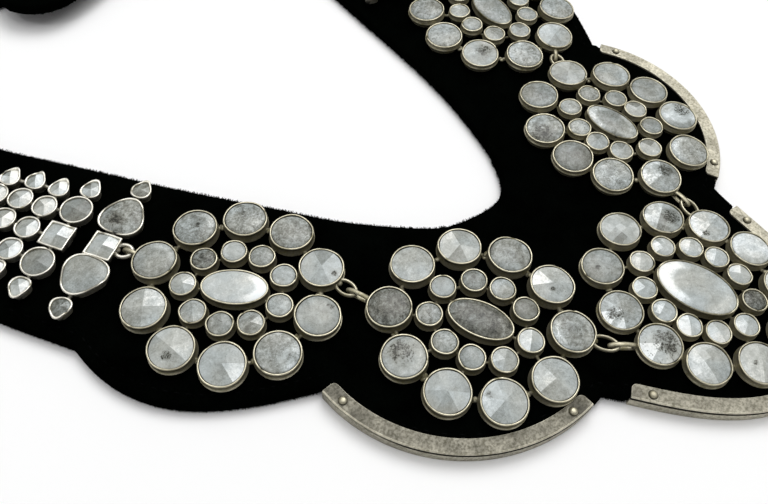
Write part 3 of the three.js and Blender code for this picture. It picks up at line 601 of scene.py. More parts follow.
def milk(Where, Spread, BlotAt, Tone, Grain, Fleck, BlotSize, BlotStrength, Glow):
    """Milky body of a stone: soft clouds, granular patches, scattered flecks, one dark inclusion, and painted
    highlights broken into feathery streaks.
    """
    clouds, grains = Where.noise(330, 5, 0.62, 0.9), Where.noise(2300, 3, 0.75)
    fine, blots = Where.noise(4600, 2, 0.6), Where.noise(640, 4, 0.72, 1.0)
    mottle, feathers = Where.noise(950, 3, 0.6, 0.6), Where.noise(620, 4, 0.62, 1.4)
    hue = Where.noise(120, 2, 0.5)
    away = add_between([Spread], "ShaderNodeVectorMath", {0: Spread, 1: BlotAt}, "Value",
                       operation="DISTANCE")
    near = (away / maths("MAXIMUM", BlotSize, 0.001)).span(0.35, 1.05, 1, 0) * BlotStrength
    clear = 1.0 - (Fleck * 0.3 + near * 0.85).clamped()
    dark = ((grains * 0.45 + blots * 0.55 - (clear * clear * 0.23 + 0.437)) * 10.0).clamped()
    dark = dark * grains.span(0.38, 0.58, 0.4, 1.0)
    tone = (clouds - 0.5) * (Grain * 0.8 + 0.3) + Tone
    tone += (grains - 0.5) * (Grain + 0.2) * blots.span(0.4, 0.6, 0.4, 1.5)
    # Painted highlight, broken into feathery streaks.
    tone += Glow * feathers.span(0.38, 0.6, Grain.span(0.05, 0.45, 0.9, 0.3), 1.12)
    tone += (mottle - 0.5) * (Grain * 1.2 + 0.16) + (fine - 0.5) * 0.14
    tone -= near * 0.1
    tone = (tone - dark * (tone * 0.84 + 0.08)).clamped()
    ramp = add(tone.socket.id_data, "ShaderNodeValToRGB", {"Fac": tone})
    steps = ramp.color_ramp.elements
    steps[0].color, steps[1].color = (0.02, 0.021, 0.016, 1), (0.97, 0.98, 0.98, 1)
    for position, shade in ((0.25, (0.135, 0.136, 0.118, 1)), (0.5, (0.312, 0.326, 0.31, 1)),
                            (0.75, (0.55, 0.575, 0.57, 1))):
        steps.new(position).color = shade
    warm = mix(hue.span(0.38, 0.62), (0.95, 0.99, 1.0, 1), (1.0, 0.985, 0.93, 1))
    return {"Color": mix(1.0, Value(ramp.outputs["Color"]), warm, "MULTIPLY"),
            "Roughness": fine * 0.16 + (Grain * 0.12 + 0.06), "Height": grains * Grain + fine}


def nap(Where, Tint):
    """Velvet pile: fine nap, and broad sweeps painted lighter as sheen where it has been brushed another way.
    """
    lift = Where.noise(2600, 2, 0.7) * 0.7 + Where.noise(90, 3, 0.55, 0.5) * 0.8
    return {"Color": mix(lift.span(0.55, 0.95), (0.0002, 0.0003, 0.0002, 1), Tint), "Height": lift}


TARNISH = shared_effect(
    "silver_tarnish", sockets(Vector="Where", Float="Polish Patina Speckle", Color="Bright Dark Olive"),
    sockets(Color="Color", Float="Metallic Roughness Height"), tarnish)
MILK = shared_effect(
    "milky_stone", sockets(Vector="Where Spread BlotAt", Float="Tone Grain Fleck BlotSize BlotStrength Glow"),
    sockets(Color="Color", Float="Roughness Height"), milk)
PILE = shared_effect("velvet_pile", sockets(Vector="Where", Color="Tint"),
                     sockets(Color="Color", Float="Height"), nap)


# ------------------------------------------------------------------ materials
def new_material(name):
    """A material, its shader and the place on the piece."""
    material = bpy.data.materials.new(name)
    material.use_nodes = True
    tree = material.node_tree
    return material, tree.nodes["Principled BSDF"], Value(add(tree, "ShaderNodeTexCoord").outputs["Object"])


def finish_with(effect, shader, inputs, relief, depth):
    """Colour and relief of a surface from a shared effect, whose outputs it gives back."""
    group = add(shader.id_data, "ShaderNodeGroup", inputs, node_tree=effect)
    made = {socket.name: Value(socket) for socket in group.outputs}
    bump = add(shader.id_data, "ShaderNodeBump",
               {"Height": made["Height"], "Strength": relief, "Distance": depth})
    fill(shader, {"Base Color": made["Color"], "Normal": Value(bump.outputs[0])})
    return made


def silver(name, bright, dark, olive, patina, matt, speckle=0.45):
    material, shader, where = new_material(name)
    polish = Value(add(shader.id_data, "ShaderNodeAttribute", attribute_name="polish").outputs["Fac"])
    # The colour carries the painted highlights and shade from each piece's polish number.
    worn = finish_with(TARNISH, shader, {
        "Where": where, "Polish": polish, "Patina": patina, "Speckle": speckle,
        "Bright": bright, "Dark": dark, "Olive": olive}, 0.35, 0.00006)
    fill(shader, {"Roughness": worn["Roughness"] + matt, "Metallic": worn["Metallic"]})
    return material


def milky(name):
    """A stone's material; each stone says its own look in two layers of four numbers: tone with painted
    shade, grain, flecks and painted highlight, then where and how strong its dark inclusion is.
    """
    material, shader, where = new_material(name)
    tree, numbers = shader.id_data, []
    for layer in ("look", "blot"):
        given = add(tree, "ShaderNodeAttribute", attribute_name=layer).outputs
        parts = add(tree, "ShaderNodeSeparateColor", {"Color": Value(given["Color"])}).outputs
        numbers += [Value(socket) for socket in (*parts, given["Alpha"])]
    tone, grain, fleck, glow, x, y, size, strength = numbers
    place = add(tree, "ShaderNodeCombineXYZ", {"X": x, "Y": y}).outputs[0]
    spread = add(tree, "ShaderNodeUVMap", uv_map="spread").outputs["UV"]
    body = finish_with(MILK, shader, {
        "Where": where, "Spread": Value(spread), "Tone": tone, "Grain": grain, "Fleck": fleck, "Glow": glow,
        "BlotAt": Value(place), "BlotSize": size, "BlotStrength": strength}, 0.15, 0.00004)
    fill(shader, {"Roughness": body["Roughness"], "IOR": 1.54, "Specular IOR Level": 0.2,
                  "Coat Weight": 0.06, "Coat Roughness": 0.08})
    return material


def pile(name, tint, sheen):
    material, shader, where = new_material(name)
    finish_with(PILE, shader, {"Where": where, "Tint": tint}, 0.9, 0.0002)
    fill(shader, {"Roughness": 1.0, "Specular IOR Level": 0.0, "Sheen Weight": sheen,
                  "Sheen Roughness": 0.45, "Sheen Tint": (0.30, 0.33, 0.36, 1)})
    return material


# The first colour is the lighter tint of the nap and its painted sheen.
BLACK_VELVET = pile("black_velvet", (0.0009, 0.0014, 0.0010, 1), 0.003)
STITCH_THREAD = pile("black_thread", (0.004, 0.0045, 0.0045, 1), 0.01)
BEZEL_SILVER = silver("antiqued_bezel_silver", (0.63, 0.59, 0.45, 1), (0.032, 0.027, 0.008, 1),
                      (0.22, 0.195, 0.075, 1), 0.32, 0.1)
LATTICE_SILVER = silver("polished_lattice_silver", (0.97, 0.94, 0.84, 1), (0.05, 0.04, 0.012, 1),
                        (0.30, 0.265, 0.12, 1), 0.26, 0.06)
CLIP_STEEL = silver("brushed_clip_metal", (0.82, 0.78, 0.64, 1), (0.07, 0.065, 0.042, 1),
                    (0.26, 0.24, 0.16, 1), 0.16, 0.25, 0.72)
MOONSTONE = milky("moonstone")


# ------------------------------------------------------------------ band
def smooth_through(points, share):
    """Point at share 0 to 1 of a smooth curve through the points."""
    last = len(points) - 1
    place = share * last
    i = min(int(place), last - 1)
    w = place - i
    p0, p1, p2, p3 = (np.array(points[min(max(k, 0), last)], float) for k in (i - 1, i, i + 1, i + 2))
    v0, v1 = (p2 - p0) / 2, (p3 - p1) / 2
    return (2 * p1 - 2 * p2 + v0 + v1) * w ** 3 + (3 * p2 - 3 * p1 - 2 * v0 - v1) * w ** 2 + v0 * w + p1


class LobeEdge:
    """One scallop of the outer edge, walked by its length."""

    def __init__(self, side, index):
        start = FRONT_RIM if index == 0 else LOBES[side][index - 1][2]
        a, b, c, d = (np.array(p, float) for p in (start, *LOBES[side][index]))
        t = np.linspace(0, 1, 601)[:, None]
        self.points = a * (1 - t) ** 3 + 3 * b * t * (1 - t) ** 2 + 3 * c * t * t * (1 - t) + d * t ** 3
        steps = np.linalg.norm(np.diff(self.points, axis=0), axis=1)
        self.walked = np.concatenate([[0], np.cumsum(steps)])
        self.length = self.walked[-1]
        self.turn = -1 if side == "left" else 1

    def at(self, share):
        goal = np.clip(share, 0, 1) * self.length
        return np.array([np.interp(goal, self.walked, self.points[:, k]) for k in (0, 1)])

    def inward(self, share):
        step = 0.4 / self.length
        along = self.at(min(share + step, 1)) - self.at(max(share - step, 0))
        along /= np.linalg.norm(along)
        return np.array([-along[1], along[0]]) * self.turn


def covered(side, index, share):
    """How far an edge clip covers this place of the outer edge, 0 to 1."""
    for runs in CLIPS.values():
        for run_side, run_index, *ends in runs:
            if (run_side, run_index) == (side, index):
                inside = max(ends) - share
                if min(ends):
                    inside = min(share - min(ends), inside)
                return float(np.clip(inside * LobeEdge(side, index).length / 0.5 + 1.2, 0, 1))
    return 0.0


def half_band(side):
    """Stations from the front to the arm's end: neck point, rim point, lift, clip cover."""
    neck, arm_rim, lobes = NECK_EDGE[side], ARM_RIM[side], len(LOBES[side])
    spans, rows = len(neck) - 1, len(arm_rim) - 1
    stations = []
    for index in range(lobes):
        edge = LobeEdge(side, index)
        steps = max(20, round(edge.length / RIM_STEP))
        for t in (s / steps for s in range(steps)):
            stations.append((smooth_through(neck, 2 * (index + t) / spans), edge.at(t), 0.0,
                             covered(side, index, t)))
    for row in (s / STATIONS_PER_ROW for s in range(rows * STATIONS_PER_ROW + 1)):
        low_row = min(int(row), rows - 1)
        ease = row - low_row
        ease = ease * ease * (3 - 2 * ease)
        lift = ARM_LIFT[side][low_row] * (1 - ease) + ARM_LIFT[side][low_row + 1] * ease
        stations.append((smooth_through(neck, (2 * lobes + row) / spans),
                         smooth_through(arm_rim, row / rows), lift, 0.0))
    last, before = stations[-1], stations[-2]
    middle, middle_before = (last[0] + last[1]) / 2, (before[0] + before[1]) / 2
    half = np.linalg.norm(last[0] - last[1]) / 2
    onward = (middle - middle_before) / np.linalg.norm(middle - middle_before)
    # The arm's end is rounded, and stops just short of a point.
    for angle in (i / 14.4 * math.pi / 2 for i in range(1, 15)):
        stations.append(tuple(middle + (e - middle) * math.cos(angle) + onward * half * math.sin(angle)
                              for e in last[:2]) + (last[2], 0.0))
    return stations


def velvet_section(neck, rim, lift, cover):
    """One section across the band: padded, with soft sides, pressed in under the edge clip."""
    width = np.linalg.norm(rim - neck)
    soft = min(1.25, width / 3)
    floor = edge_in = PRESSED_IN * cover
    middle_z, reach_z = (VELVET_TOP + floor) / 2, (VELVET_TOP - floor) / 2
    quarter_turns = [math.pi * i / 8 - math.pi / 2 for i in range(9)]
    across = [(soft * (1 - math.cos(phi)), SIDE_ROLL * (1 + math.sin(phi))) for phi in quarter_turns]
    for share in (i / 10 for i in range(1, 10)):
        across.append((soft + (width - 2 * soft) * share, VELVET_TOP - 0.12 * abs(2 * share - 1) ** 4))
    for phi in reversed(quarter_turns):
        across.append((width - edge_in - soft * (1 - math.cos(phi)), middle_z + reach_z * math.sin(phi)))
    across += [(width - min(4.2, width * 0.4), floor), (width - min(4.25, width * 0.45), 0.0),
               (width * 0.3, 0.0)]
    way = (rim - neck) / width
    return [(*(neck + way * d), z + lift) for d, z in across]


def velvet_collar(stations):
    sections = [velvet_section(*s) for s in stations]
    around, count = len(sections[0]), len(sections[0]) * len(sections)
    faces = []
    for first in range(0, count - around, around):
        for i in range(around):
            a, b = first + i, first + (i + 1) % around
            faces.append((a, a + around, b + around, b))
    faces += [tuple(range(around)), tuple(reversed(range(count - around, count)))]
    piece = sewn_up([p for section in sections for p in section], faces, 180)
    dress(piece, "velvet_collar", BLACK_VELVET, "velvet_band")


def open_edges(stations):
    """The band's bare edges as runs of close places: (point, outward, along, lift, which edge)."""
    runs = []
    for which, other in ((1, 0), (0, 1)):
        places = []
        for a, b in zip(stations, stations[1:]):
            step = np.linalg.norm(b[which] - a[which])
            if step < 1e-6:
                continue
            along = (b[which] - a[which]) / step
            out = np.array([along[1], -along[0]])
            if out @ (a[which] - a[other]) < 0:
                out = -out
            count = max(1, round(step / TUFT_STEP))
            if which == 0 or max(a[3], b[3]) < 0.5:
                places += [(a[which] + (b[which] - a[which]) * t, out, along, a[2] + (b[2] - a[2]) * t, which)
                           for t in (i / count for i in range(count))]
        runs.append(places)
    return runs


def pile_tufts(stations):
    """Tufts of pile along the bare edges: one pointed tuft, copied with its own size and direction."""
    rng = np.random.default_rng(11)
    corner = np.array([[0, 1, 0], [0, -0.5, 0.87], [0, -0.5, -0.87], [1, 0, 0]], float)
    verts, faces = [], []
    for places in open_edges(stations):
        clump, left_in_clump = 0.0, 0
        for point, out, along, lift, which in places:
            if left_in_clump <= 0:
                clump, lean, left_in_clump = rng.uniform(0.0, 0.34), rng.normal() * 0.3, rng.integers(2, 6)
            left_in_clump -= 1
            for z in TUFT_HEIGHTS:
                length = float(np.clip(clump + 0.06 * rng.normal(), 0.02, 0.42)) * (0.3 if which else 0.9)
                yaw = lean + rng.normal() * 0.25
                pitch = max(-0.22, rng.normal() * 0.2 + (z - SIDE_ROLL) * 0.25)
                way = out * math.cos(yaw) + along * math.sin(yaw)
                axis = np.append(way * math.cos(pitch), math.sin(pitch))
                side = np.cross(axis, (0, 0, 1))
                side /= np.linalg.norm(side)
                up = np.cross(side, axis)
                thick = rng.uniform(0.16, 0.26)
                inset = 0.45 + 0.25 * abs(z - SIDE_ROLL)
                shift = np.array([rng.uniform(-0.12, 0.12) for _ in range(2)])
                base = np.append(point - out * inset + along * shift, z + lift)
                a, b, c, tip = range(len(verts), len(verts) + 4)
                for ahead, aside, above in corner:
                    reach = length + inset if ahead else 0
                    verts.append(base + axis * reach + side * aside * thick + up * above * thick)
                faces += [(a, c, b), (a, b, tip), (b, c, tip), (c, a, tip)]
    dress(sewn_up(verts, faces, 20), "velvet_pile_tufts", BLACK_VELVET, "velvet_band")


def edge_stitching(stations):
    """A row of machine stitches inside the outer edge: one stitch, copied along the row."""
    stitch = rod(6, 0.17, 1.5)
    bpy.ops.mesh.subdivide(number_cuts=2)
    pick(stitch, lambda co: abs(co.x) > 0.7 * MM)
    resize(1, 0.45, 0.45)
    bpy.ops.transform.translate(value=(0, 0, -0.12 * MM))
    close_shell(60)
    parts, walked, last = [], 0.0, None
    for neck, rim, lift, cover in stations:
        width = np.linalg.norm(rim - neck)
        if width < 8:
            continue
        here = rim + (neck - rim) / width * (STITCH_INSET if cover < 0.5 else STITCH_INSET_AT_CLIP)
        if last is not None:
            walked += np.linalg.norm(here - last)
            if walked > STITCH_STEP:
                walked = 0.0
                heading = math.atan2(*(here - last)[::-1])
                parts.append(copy_of(stitch, turned_at(spot(*here, VELVET_TOP + lift - 0.02), heading)))
        last = here
    bpy.data.objects.remove(stitch)
    gather("edge_stitching", parts, STITCH_THREAD, "velvet_band")


# ------------------------------------------------------------------ edge clips and rivets
def clip_path(name):
    """Places along the clip with the direction towards the band, wider steps at both ends."""
    places = []
    for side, index, start, end in CLIPS[name]:
        edge = LobeEdge(side, index)
        steps = round(abs(end - start) * edge.length / CLIP_STEP)
        shares = [start + (end - start) * i / steps for i in range(steps + 1)]
        places += [(edge.at(s), edge.inward(s)) for s in (shares[:-1] if end == 0 else shares)]
    return [p for i, p in enumerate(places) if i not in (1, len(places) - 2)]


def edge_clip(name):
    """A strip folded round the edge: its section is extruded and turned along the scallop."""
    path = clip_path(name)
    put_down()
    bpy.ops.mesh.primitive_circle_add(vertices=len(CLIP_PROFILE), radius=MM, fill_type="NGON")
    piece = bpy.context.object
    point, inward = path[0]
    for v, (depth, z) in zip(piece.data.vertices, CLIP_PROFILE):
        v.co = spot(*(point + inward * depth), z)
    open_up(piece)
    heading = math.atan2(inward[1], inward[0])
    for (here, facing), (before, _) in zip(path[1:], path):
        step = (here - before) * MM
        rise(step[0], step[1], 0)
        turned = math.atan2(facing[1], facing[0])
        turn = (turned - heading + math.pi) % (2 * math.pi) - math.pi
        bpy.ops.transform.rotate(value=-turn, orient_axis="Z", center_override=spot(*here))
        heading = turned
    ends = [spot(*here) for here, _ in (path[0], path[-1])]
    corners = [spot(*(here + facing * CLIP_FLANGE)) for here, facing in (path[0], path[-1])]

    def flange_corner(a, b):
        a, b = (Vector((v.x, v.y, 0)) for v in (a, b))
        return (a - b).length < 0.05 * MM and any((a - corner).length < 0.2 * MM for corner in corners)

    def from_ends(co):
        return min((co - end).length for end in ends) / MM

    def slit_open(co):
        """The slit along the fold closes towards the far end of the left clip."""
        return min(1, max(0.02, ((co - ends[-1]).length / MM - 9) / 12)) if name == "left" else 1

    def wear_and_light(co):
        worn = float(np.interp((co.x - ORIGIN.x) / MM, (-20, 30), CLIP_DARKENING[name]))
        worn -= max(0, 1 - from_ends(co) / 17) * 0.75 * max(0, noise.noise(co * 330) + 0.05)
        worn += 0.1 * noise.noise(Vector((co.x, co.y, 0)) * 420)
        # The slit is painted dark as shade, less so where it closes.
        if 2.74 * MM < co.z < 3.4 * MM:
            return -0.95 * slit_open(co)
        # The side below the slit is painted lighter for the light falling on it, less so towards the bottom.
        return max(-0.93, worn + (0.3 - 0.16 * max(0, 1 - co.z / (3 * MM)) if co.z < 2.74 * MM else 0))

    # How strongly the outward edges are painted bright, as worn metal and highlight, from the ends inwards.
    def rub_and_highlight(co):
        at_ends, between = CLIP_RUB_AND_HIGHLIGHT[name]
        return at_ends + (between - at_ends) * min(1, from_ends(co) / 26)

    pick(piece, flange_corner, "EDGE")
    bpy.ops.mesh.bevel(offset=1.5 * MM, segments=6, affect="EDGES", clamp_overlap=True)
    close_shell(30)
    take(piece)
    worn_edges = piece.modifiers.new("worn edges", "BEVEL")
    worn_edges.width, worn_edges.segments = 0.16 * MM, 2
    worn_edges.limit_method, worn_edges.angle_limit = "ANGLE", radians(35)
    worn_edges.use_clamp_overlap = True
    bpy.ops.object.modifier_apply(modifier=worn_edges.name)
    mark_rubbed_and_highlit_edges(piece.data, wear_and_light, 3.55, rub_and_highlight)
    for v in piece.data.vertices:
        if SLIT_LOW * MM < v.co.z < SLIT_HIGH * MM:
            v.co.z = SLIT_MIDDLE * MM + (v.co.z - SLIT_MIDDLE * MM) * slit_open(v.co)
    take(piece)
    bpy.ops.object.shade_smooth_by_angle(angle=radians(35))
    dress(piece, f"folded_clip_{name}", CLIP_STEEL, f"edge_clip_{name}")


def spun(sides, radius, rings, smooth, polish):
    """A round piece raised through its rings."""
    piece = form(sides, radius, radius, rings[0][1])
    raise_rings(radius, radius, rings)
    close_shell(smooth)
    mark(piece.data, "polish", polish)
    return piece


def rivets(pattern, name):
    path = clip_path(name)
    for k, ((here, inward), (onward, _)) in enumerate(((path[0], path[2]), (path[-1], path[-3])), 1):
        along = (onward - here) / np.linalg.norm(onward - here)
        place = here + along * RIVET_FROM_END + inward * CLIP_FLANGE / 2
        dress(copy_of(pattern, Matrix.Translation(spot(*place))), f"domed_rivet_{name}_{k}",
              BEZEL_SILVER, f"rivet_{name}_{k}")


# ------------------------------------------------------------------ cups
def bezel(sides, half_x, half_y, rim=CUP_RIM, squeeze=None, lean=0.0, wall=BEZEL_WALL):
    """A cup of thin strip: foot ring, wall, rolled rim and a seat, raised ring by ring."""
    rings = [(inset, z - (CUP_RIM - rim) * (z - CUP_FOOT) / (CUP_RIM - CUP_FOOT)) for inset, z in wall]
    cup = form(sides, half_x - rings[0][0], half_y - rings[0][0], rings[0][1], squeeze)
    raise_rings(half_x, half_y, rings)
    close_shell(42)
    narrow = min(half_x, half_y)

    def polish(co):
        reach = math.hypot(co.x / half_x, co.y / half_y) * narrow
        if squeeze:
            reach /= squeeze(math.atan2(co.y, co.x))
        # Inside the cup below the rim: painted dark, as patina and as painted shade in the gap by the stone.
        if reach < narrow - 0.31 and co.z < rim - 0.06:
            return -0.9
        return float(np.interp((co.z - STEM_TOP) / (rim - STEM_TOP), *WALL_POLISH_AND_LIGHT))

    mark(cup.data, "polish", polish)
    if lean:
        open_up(cup)
        pick(cup, lambda co: co.z > 4.9 * MM)
        bpy.ops.transform.rotate(value=-radians(lean), orient_axis="Y", center_override=(0, 0, LEAN_AT * MM))
        bpy.ops.object.mode_set(mode="OBJECT")
    return cup


def hand_made(cup, rng, radius, rim=CUP_RIM, foot=STEM_TOP):
    """Each strip is bent by hand: a little out of round, and with a nick where its ends meet."""
    polish = cup.data.attributes["polish"].data
    for v in cup.data.vertices:
        if v.co.z < 5.9 * MM:
            v.co.z = float(np.interp(v.co.z / MM, (3.3, 4.4, 4.64, 5.9), (3.3, foot, foot + 0.24, 5.9))) * MM
        # On a tall foot the outer wall is painted again for light and shade, and the inside dull.
        if foot > 4.2:
            outside = math.hypot(v.co.x, v.co.y) / MM > radius - 0.4
            up = (v.co.z / MM - foot) / (rim - foot)
            polish[v.index].value = float(np.interp(up, *UPPER_LIGHT_AND_RUB)) if outside else -0.35
    waves = [(k, rng.uniform(0, 6.3), rng.uniform(0.01, 0.045)) for k in (2, 3, 5)]
    seam, depth = rng.uniform(-math.pi, math.pi), rng.uniform(0.15, 0.35)
    for v in cup.data.vertices:
        angle = math.atan2(v.co.y, v.co.x)
        out = sum(size * math.sin(k * angle + start) for k, start, size in waves)
        high = clamp((v.co.z / MM - 4.8) / 1.2)
        share = 1 + out * high / radius
        v.co.x *= share
        v.co.y *= share
        v.co.z += 0.5 * out * high * MM
        away = apart(angle, seam, 2 * math.pi) * radius
        if away < NICK and v.co.z > (rim - NICK) * MM:
            near = 1 - away / NICK
            v.co.z -= depth * near * MM
            polish[v.index].value = max(-0.95, polish[v.index].value - 1.7 * near)


def trillion_reach(angle):
    return 1 + 0.085 * math.cos(3 * angle)


def drop_reach(angle):
    return 1 + 0.06 * math.cos(3 * angle) + 0.24 * max(0, math.cos(angle)) ** 11


def square_reach(angle):
    """A square with its corners pinched out a little, from the reach of its flat sides."""
    turned = (angle + math.pi / 4) % (math.pi / 2) - math.pi / 4
    reach = 1 / math.cos(turned)
    return min(reach, 1.34) + 0.05 * max(0, (reach - 1.3) / 0.11)


# ------------------------------------------------------------------ stones
def tier(count, slope, height=0.75, start=0):
    """Facet planes all round a stone that meet over its middle, each as (place, normal)."""
    s = radians(slope)
    return [((0, 0, height), (math.sin(s) * math.cos(a), math.sin(s) * math.sin(a), math.cos(s)))
            for a in (radians(start + 360 / count * k) for k in range(count))]


def checker():
    """Facet planes in a square grid over a low dome."""
    grid = [1.9 * i for i in range(-2, 3)]
    return [((x, y, 0.75 - 0.035 * (x * x + y * y)), (0.07 * x, 0.07 * y, 1))
            for x in grid for y in grid if math.hypot(x, y) < STONE_RADIUS]


def cut_stone(planes=None, sides=48, radius=STONE_RADIUS, squeeze=None):
    """A stone blank, domed or ground flat along its facet planes."""
    stone = form(sides, radius, radius, -STONE_DEPTH, squeeze)
    if planes is None:
        turns = [radians(d) for d in (0, 8, 18, 30, 42, 54, 66, 76, 84, 88.5)]
        raise_rings(radius, radius, [(0, -STONE_DEPTH)] + [
            (radius * (1 - math.cos(a)), 0.7 * math.sin(a)) for a in turns])
        close_shell(60)
        return stone
    rise(0, 0, 2.6 * MM)
    for place, normal in planes:
        bpy.ops.mesh.select_all(action="SELECT")
        bpy.ops.mesh.bisect(plane_co=Vector(place) * MM, plane_no=normal, use_fill=True, clear_outer=True,
                            threshold=1e-7)
    close_shell(3)
    return stone


def set_look(mesh, look, rng, radius, outline=lambda angle: 1):
    """Tone with painted shade and painted highlights, grain and flecks of one stone, facet by facet, and
    where its dark inclusion lies.
    """
    cut, pale, grain, fleck, lights, *blot = look
    spread = mesh.uv_layers.get("spread") or mesh.uv_layers.new(name="spread")
    values = np.ones((len(mesh.loops), 4), np.float32)
    places = np.zeros((len(mesh.loops), 2), np.float32)

    # A change is painted as highlight where it is positive and as shade where it is negative.
    def lit(shade, glow, change, share):
        return shade + min(0, change * share), glow + max(0, change * share)

    for face in sorted(mesh.polygons, key=lambda f: round((f.center.x + 0.371 * f.center.y) / MM, 4)):
        facing, tilt = math.degrees(math.atan2(face.normal.y, face.normal.x)), math.hypot(*face.normal[:2])
        facet_shade, facet_highlight = pale + rng.uniform(-0.03, 0.03), 0
        fade_x, fade_y = (rng.uniform(-0.07, 0.07) for _ in range(2))
        if cut != "smooth" and 0.02 < tilt < 0.8:
            for toward, half, change in lights:
                share = clamp((half + 8 - apart(facing, toward)) / 8) * rng.uniform(0.75, 1.1)
                facet_shade, facet_highlight = lit(facet_shade, facet_highlight, change, share)
        for loop in face.loop_indices:
            co = mesh.vertices[mesh.loops[loop].vertex_index].co / MM
            places[loop] = (0.5 + 0.5 * co.x / radius, 0.5 + 0.5 * co.y / radius)
            across = (fade_x * co.x + fade_y * co.y) / radius
            shade, glow = facet_shade + across, facet_highlight * max(0.3, 0.88 + 4 * across)
            # On smooth domes the painted highlights and shade are crescents towards the edge.
            if cut == "smooth":
                shade, glow = pale, 0
                angle = math.atan2(co.y, co.x)
                at_edge = clamp((math.hypot(co.x, co.y) / (radius * outline(angle)) - 0.58) / 0.16)
                for toward, half, change in lights:
                    share = at_edge * clamp((half + 20 - apart(math.degrees(angle), toward)) / 30)
                    shade, glow = lit(shade, glow, change, share)
            values[loop] = (clamp(shade), grain, fleck, glow)
    spread.data.foreach_set("uv", places.ravel())
    way, reach, size, strength = blot[0] if blot else (0, 0, 0.01, 0)
    blot_at = [0.5 + 0.5 * reach * turn(radians(way)) for turn in (math.cos, math.sin)]
    blots = np.tile(np.array((*blot_at, size / 2, strength), np.float32), len(mesh.loops))
    for name, numbers in (("look", values.ravel()), ("blot", blots)):
        mesh.color_attributes.new(name, "FLOAT_COLOR", "CORNER").data.foreach_set("color", numbers)


def set_stone(pattern, look, matrix, size, rng):
    """A stone turned to the direction of its first painted light, leaned and laid in its cup."""
    first_light = radians(look[4][0][0])
    sized = Matrix.Diagonal((size, size, 0.55 + 0.45 * size, 1))
    stone = copy_of(pattern, Matrix.Rotation(first_light, 4, "Z") @ sized)
    set_look(stone.data, look, rng, STONE_RADIUS * size)
    stone.data.transform(matrix)
    return stone


# ------------------------------------------------------------------ solder and links
def solder_patterns():
    put_down()
    bpy.ops.mesh.primitive_uv_sphere_add(segments=12, ring_count=8, radius=0.5 * MM, location=(0, 0, 0))
    bead = open_up(bpy.context.object)
    pick(bead, lambda co: co.z > 0.2 * MM)
    resize(1.1, 0.8, 0.7, (0, 0, 0.2 * MM))
    close_shell(180)
    # Dark solder with a painted highlight on top.
    mark(bead.data, "polish", lambda co: -0.65 + 1.2 * max(0, co.z))
    bar = rod(10, 0.55, 1)
    pick(bar, lambda a, b: abs(a.x - b.x) > 0.5 * MM, "EDGE")
    bpy.ops.mesh.subdivide(number_cuts=3)
    pick(bar, lambda co: abs(co.x) < 0.1 * MM)
    resize(1, 0.72, 0.72)
    close_shell(60)
    # Dark solder with a painted highlight on top.
    mark(bar.data, "polish", lambda co: -0.86 + 1.2 * max(0, co.z))
    return bead, bar


def joint_between(bar, a, b, reach_a, reach_b, z=SOLDER_HEIGHT, thick=1.0):
    """A solder bar from one cup's wall into the next."""
    span = b - a
    length = span.length / MM - reach_a - reach_b + 2 * SOLDER_BITE
    middle = a + span * ((reach_a - SOLDER_BITE + length / 2) * MM / span.length)
    middle.z = z * MM
    sized = Matrix.Diagonal((length, thick, thick, 1))
    return copy_of(bar, turned_at(middle, math.atan2(span.y, span.x)) @ sized)


def wire_loop(cup, reach, hook, upright):
    """A bent wire loop from a cup's wall round the hook."""
    onward = hook - cup
    start = reach * 0.92 - 0.25
    half = (onward.length / MM - start + 0.95) / 2
    put_down()
    bpy.ops.mesh.primitive_torus_add(major_segments=36, minor_segments=10, major_radius=half * MM,
                                     minor_radius=0.56 * MM, location=(0, 0, 0))
    loop = open_up(bpy.context.object)
    resize(1, (1.05 if upright else 1.7) / half, 1)
    close_shell(180)
    # Painted lighter on top as a highlight, darker underneath as shade.
    mark(loop.data, "polish", lambda co: 0.2 + 1.2 * co.z)
    if upright:
        loop.data.transform(Matrix.Rotation(radians(90), 4, "X"))
    loop.data.transform(turned_at(Vector((cup.x, cup.y, LINK_HEIGHT * MM)), math.atan2(onward.y, onward.x))
                        @ Matrix.Translation(Vector(((start + half) * MM, 0, 0))))
    return loop


# ------------------------------------------------------------------ rosettes
def ring(rosette, which):
    """Cup places of a ring in the frame, each with its outward direction."""
    count, along, across, start = rosette[which]
    turn = radians(rosette["axis"] - 90)
    places = []
    for i in range(count):
        angle = radians(start + 360 / count * i)
        reach = 1 / math.hypot(math.cos(angle) / across, math.sin(angle) / along)
        x, y = rosette["way"] * reach * math.cos(angle), reach * math.sin(angle)
        out = math.atan2(y, x) + turn
        away = Vector((math.hypot(x, y) * math.cos(out), math.hypot(x, y) * math.sin(out), 0)) * MM
        places.append((spot(*rosette["at"]) + away, out))
    return places


def nearest(places, target):
    return min(places, key=lambda p: (p - target).length)


def neighbours(places):
    return zip(places, places[1:] + places[:1])


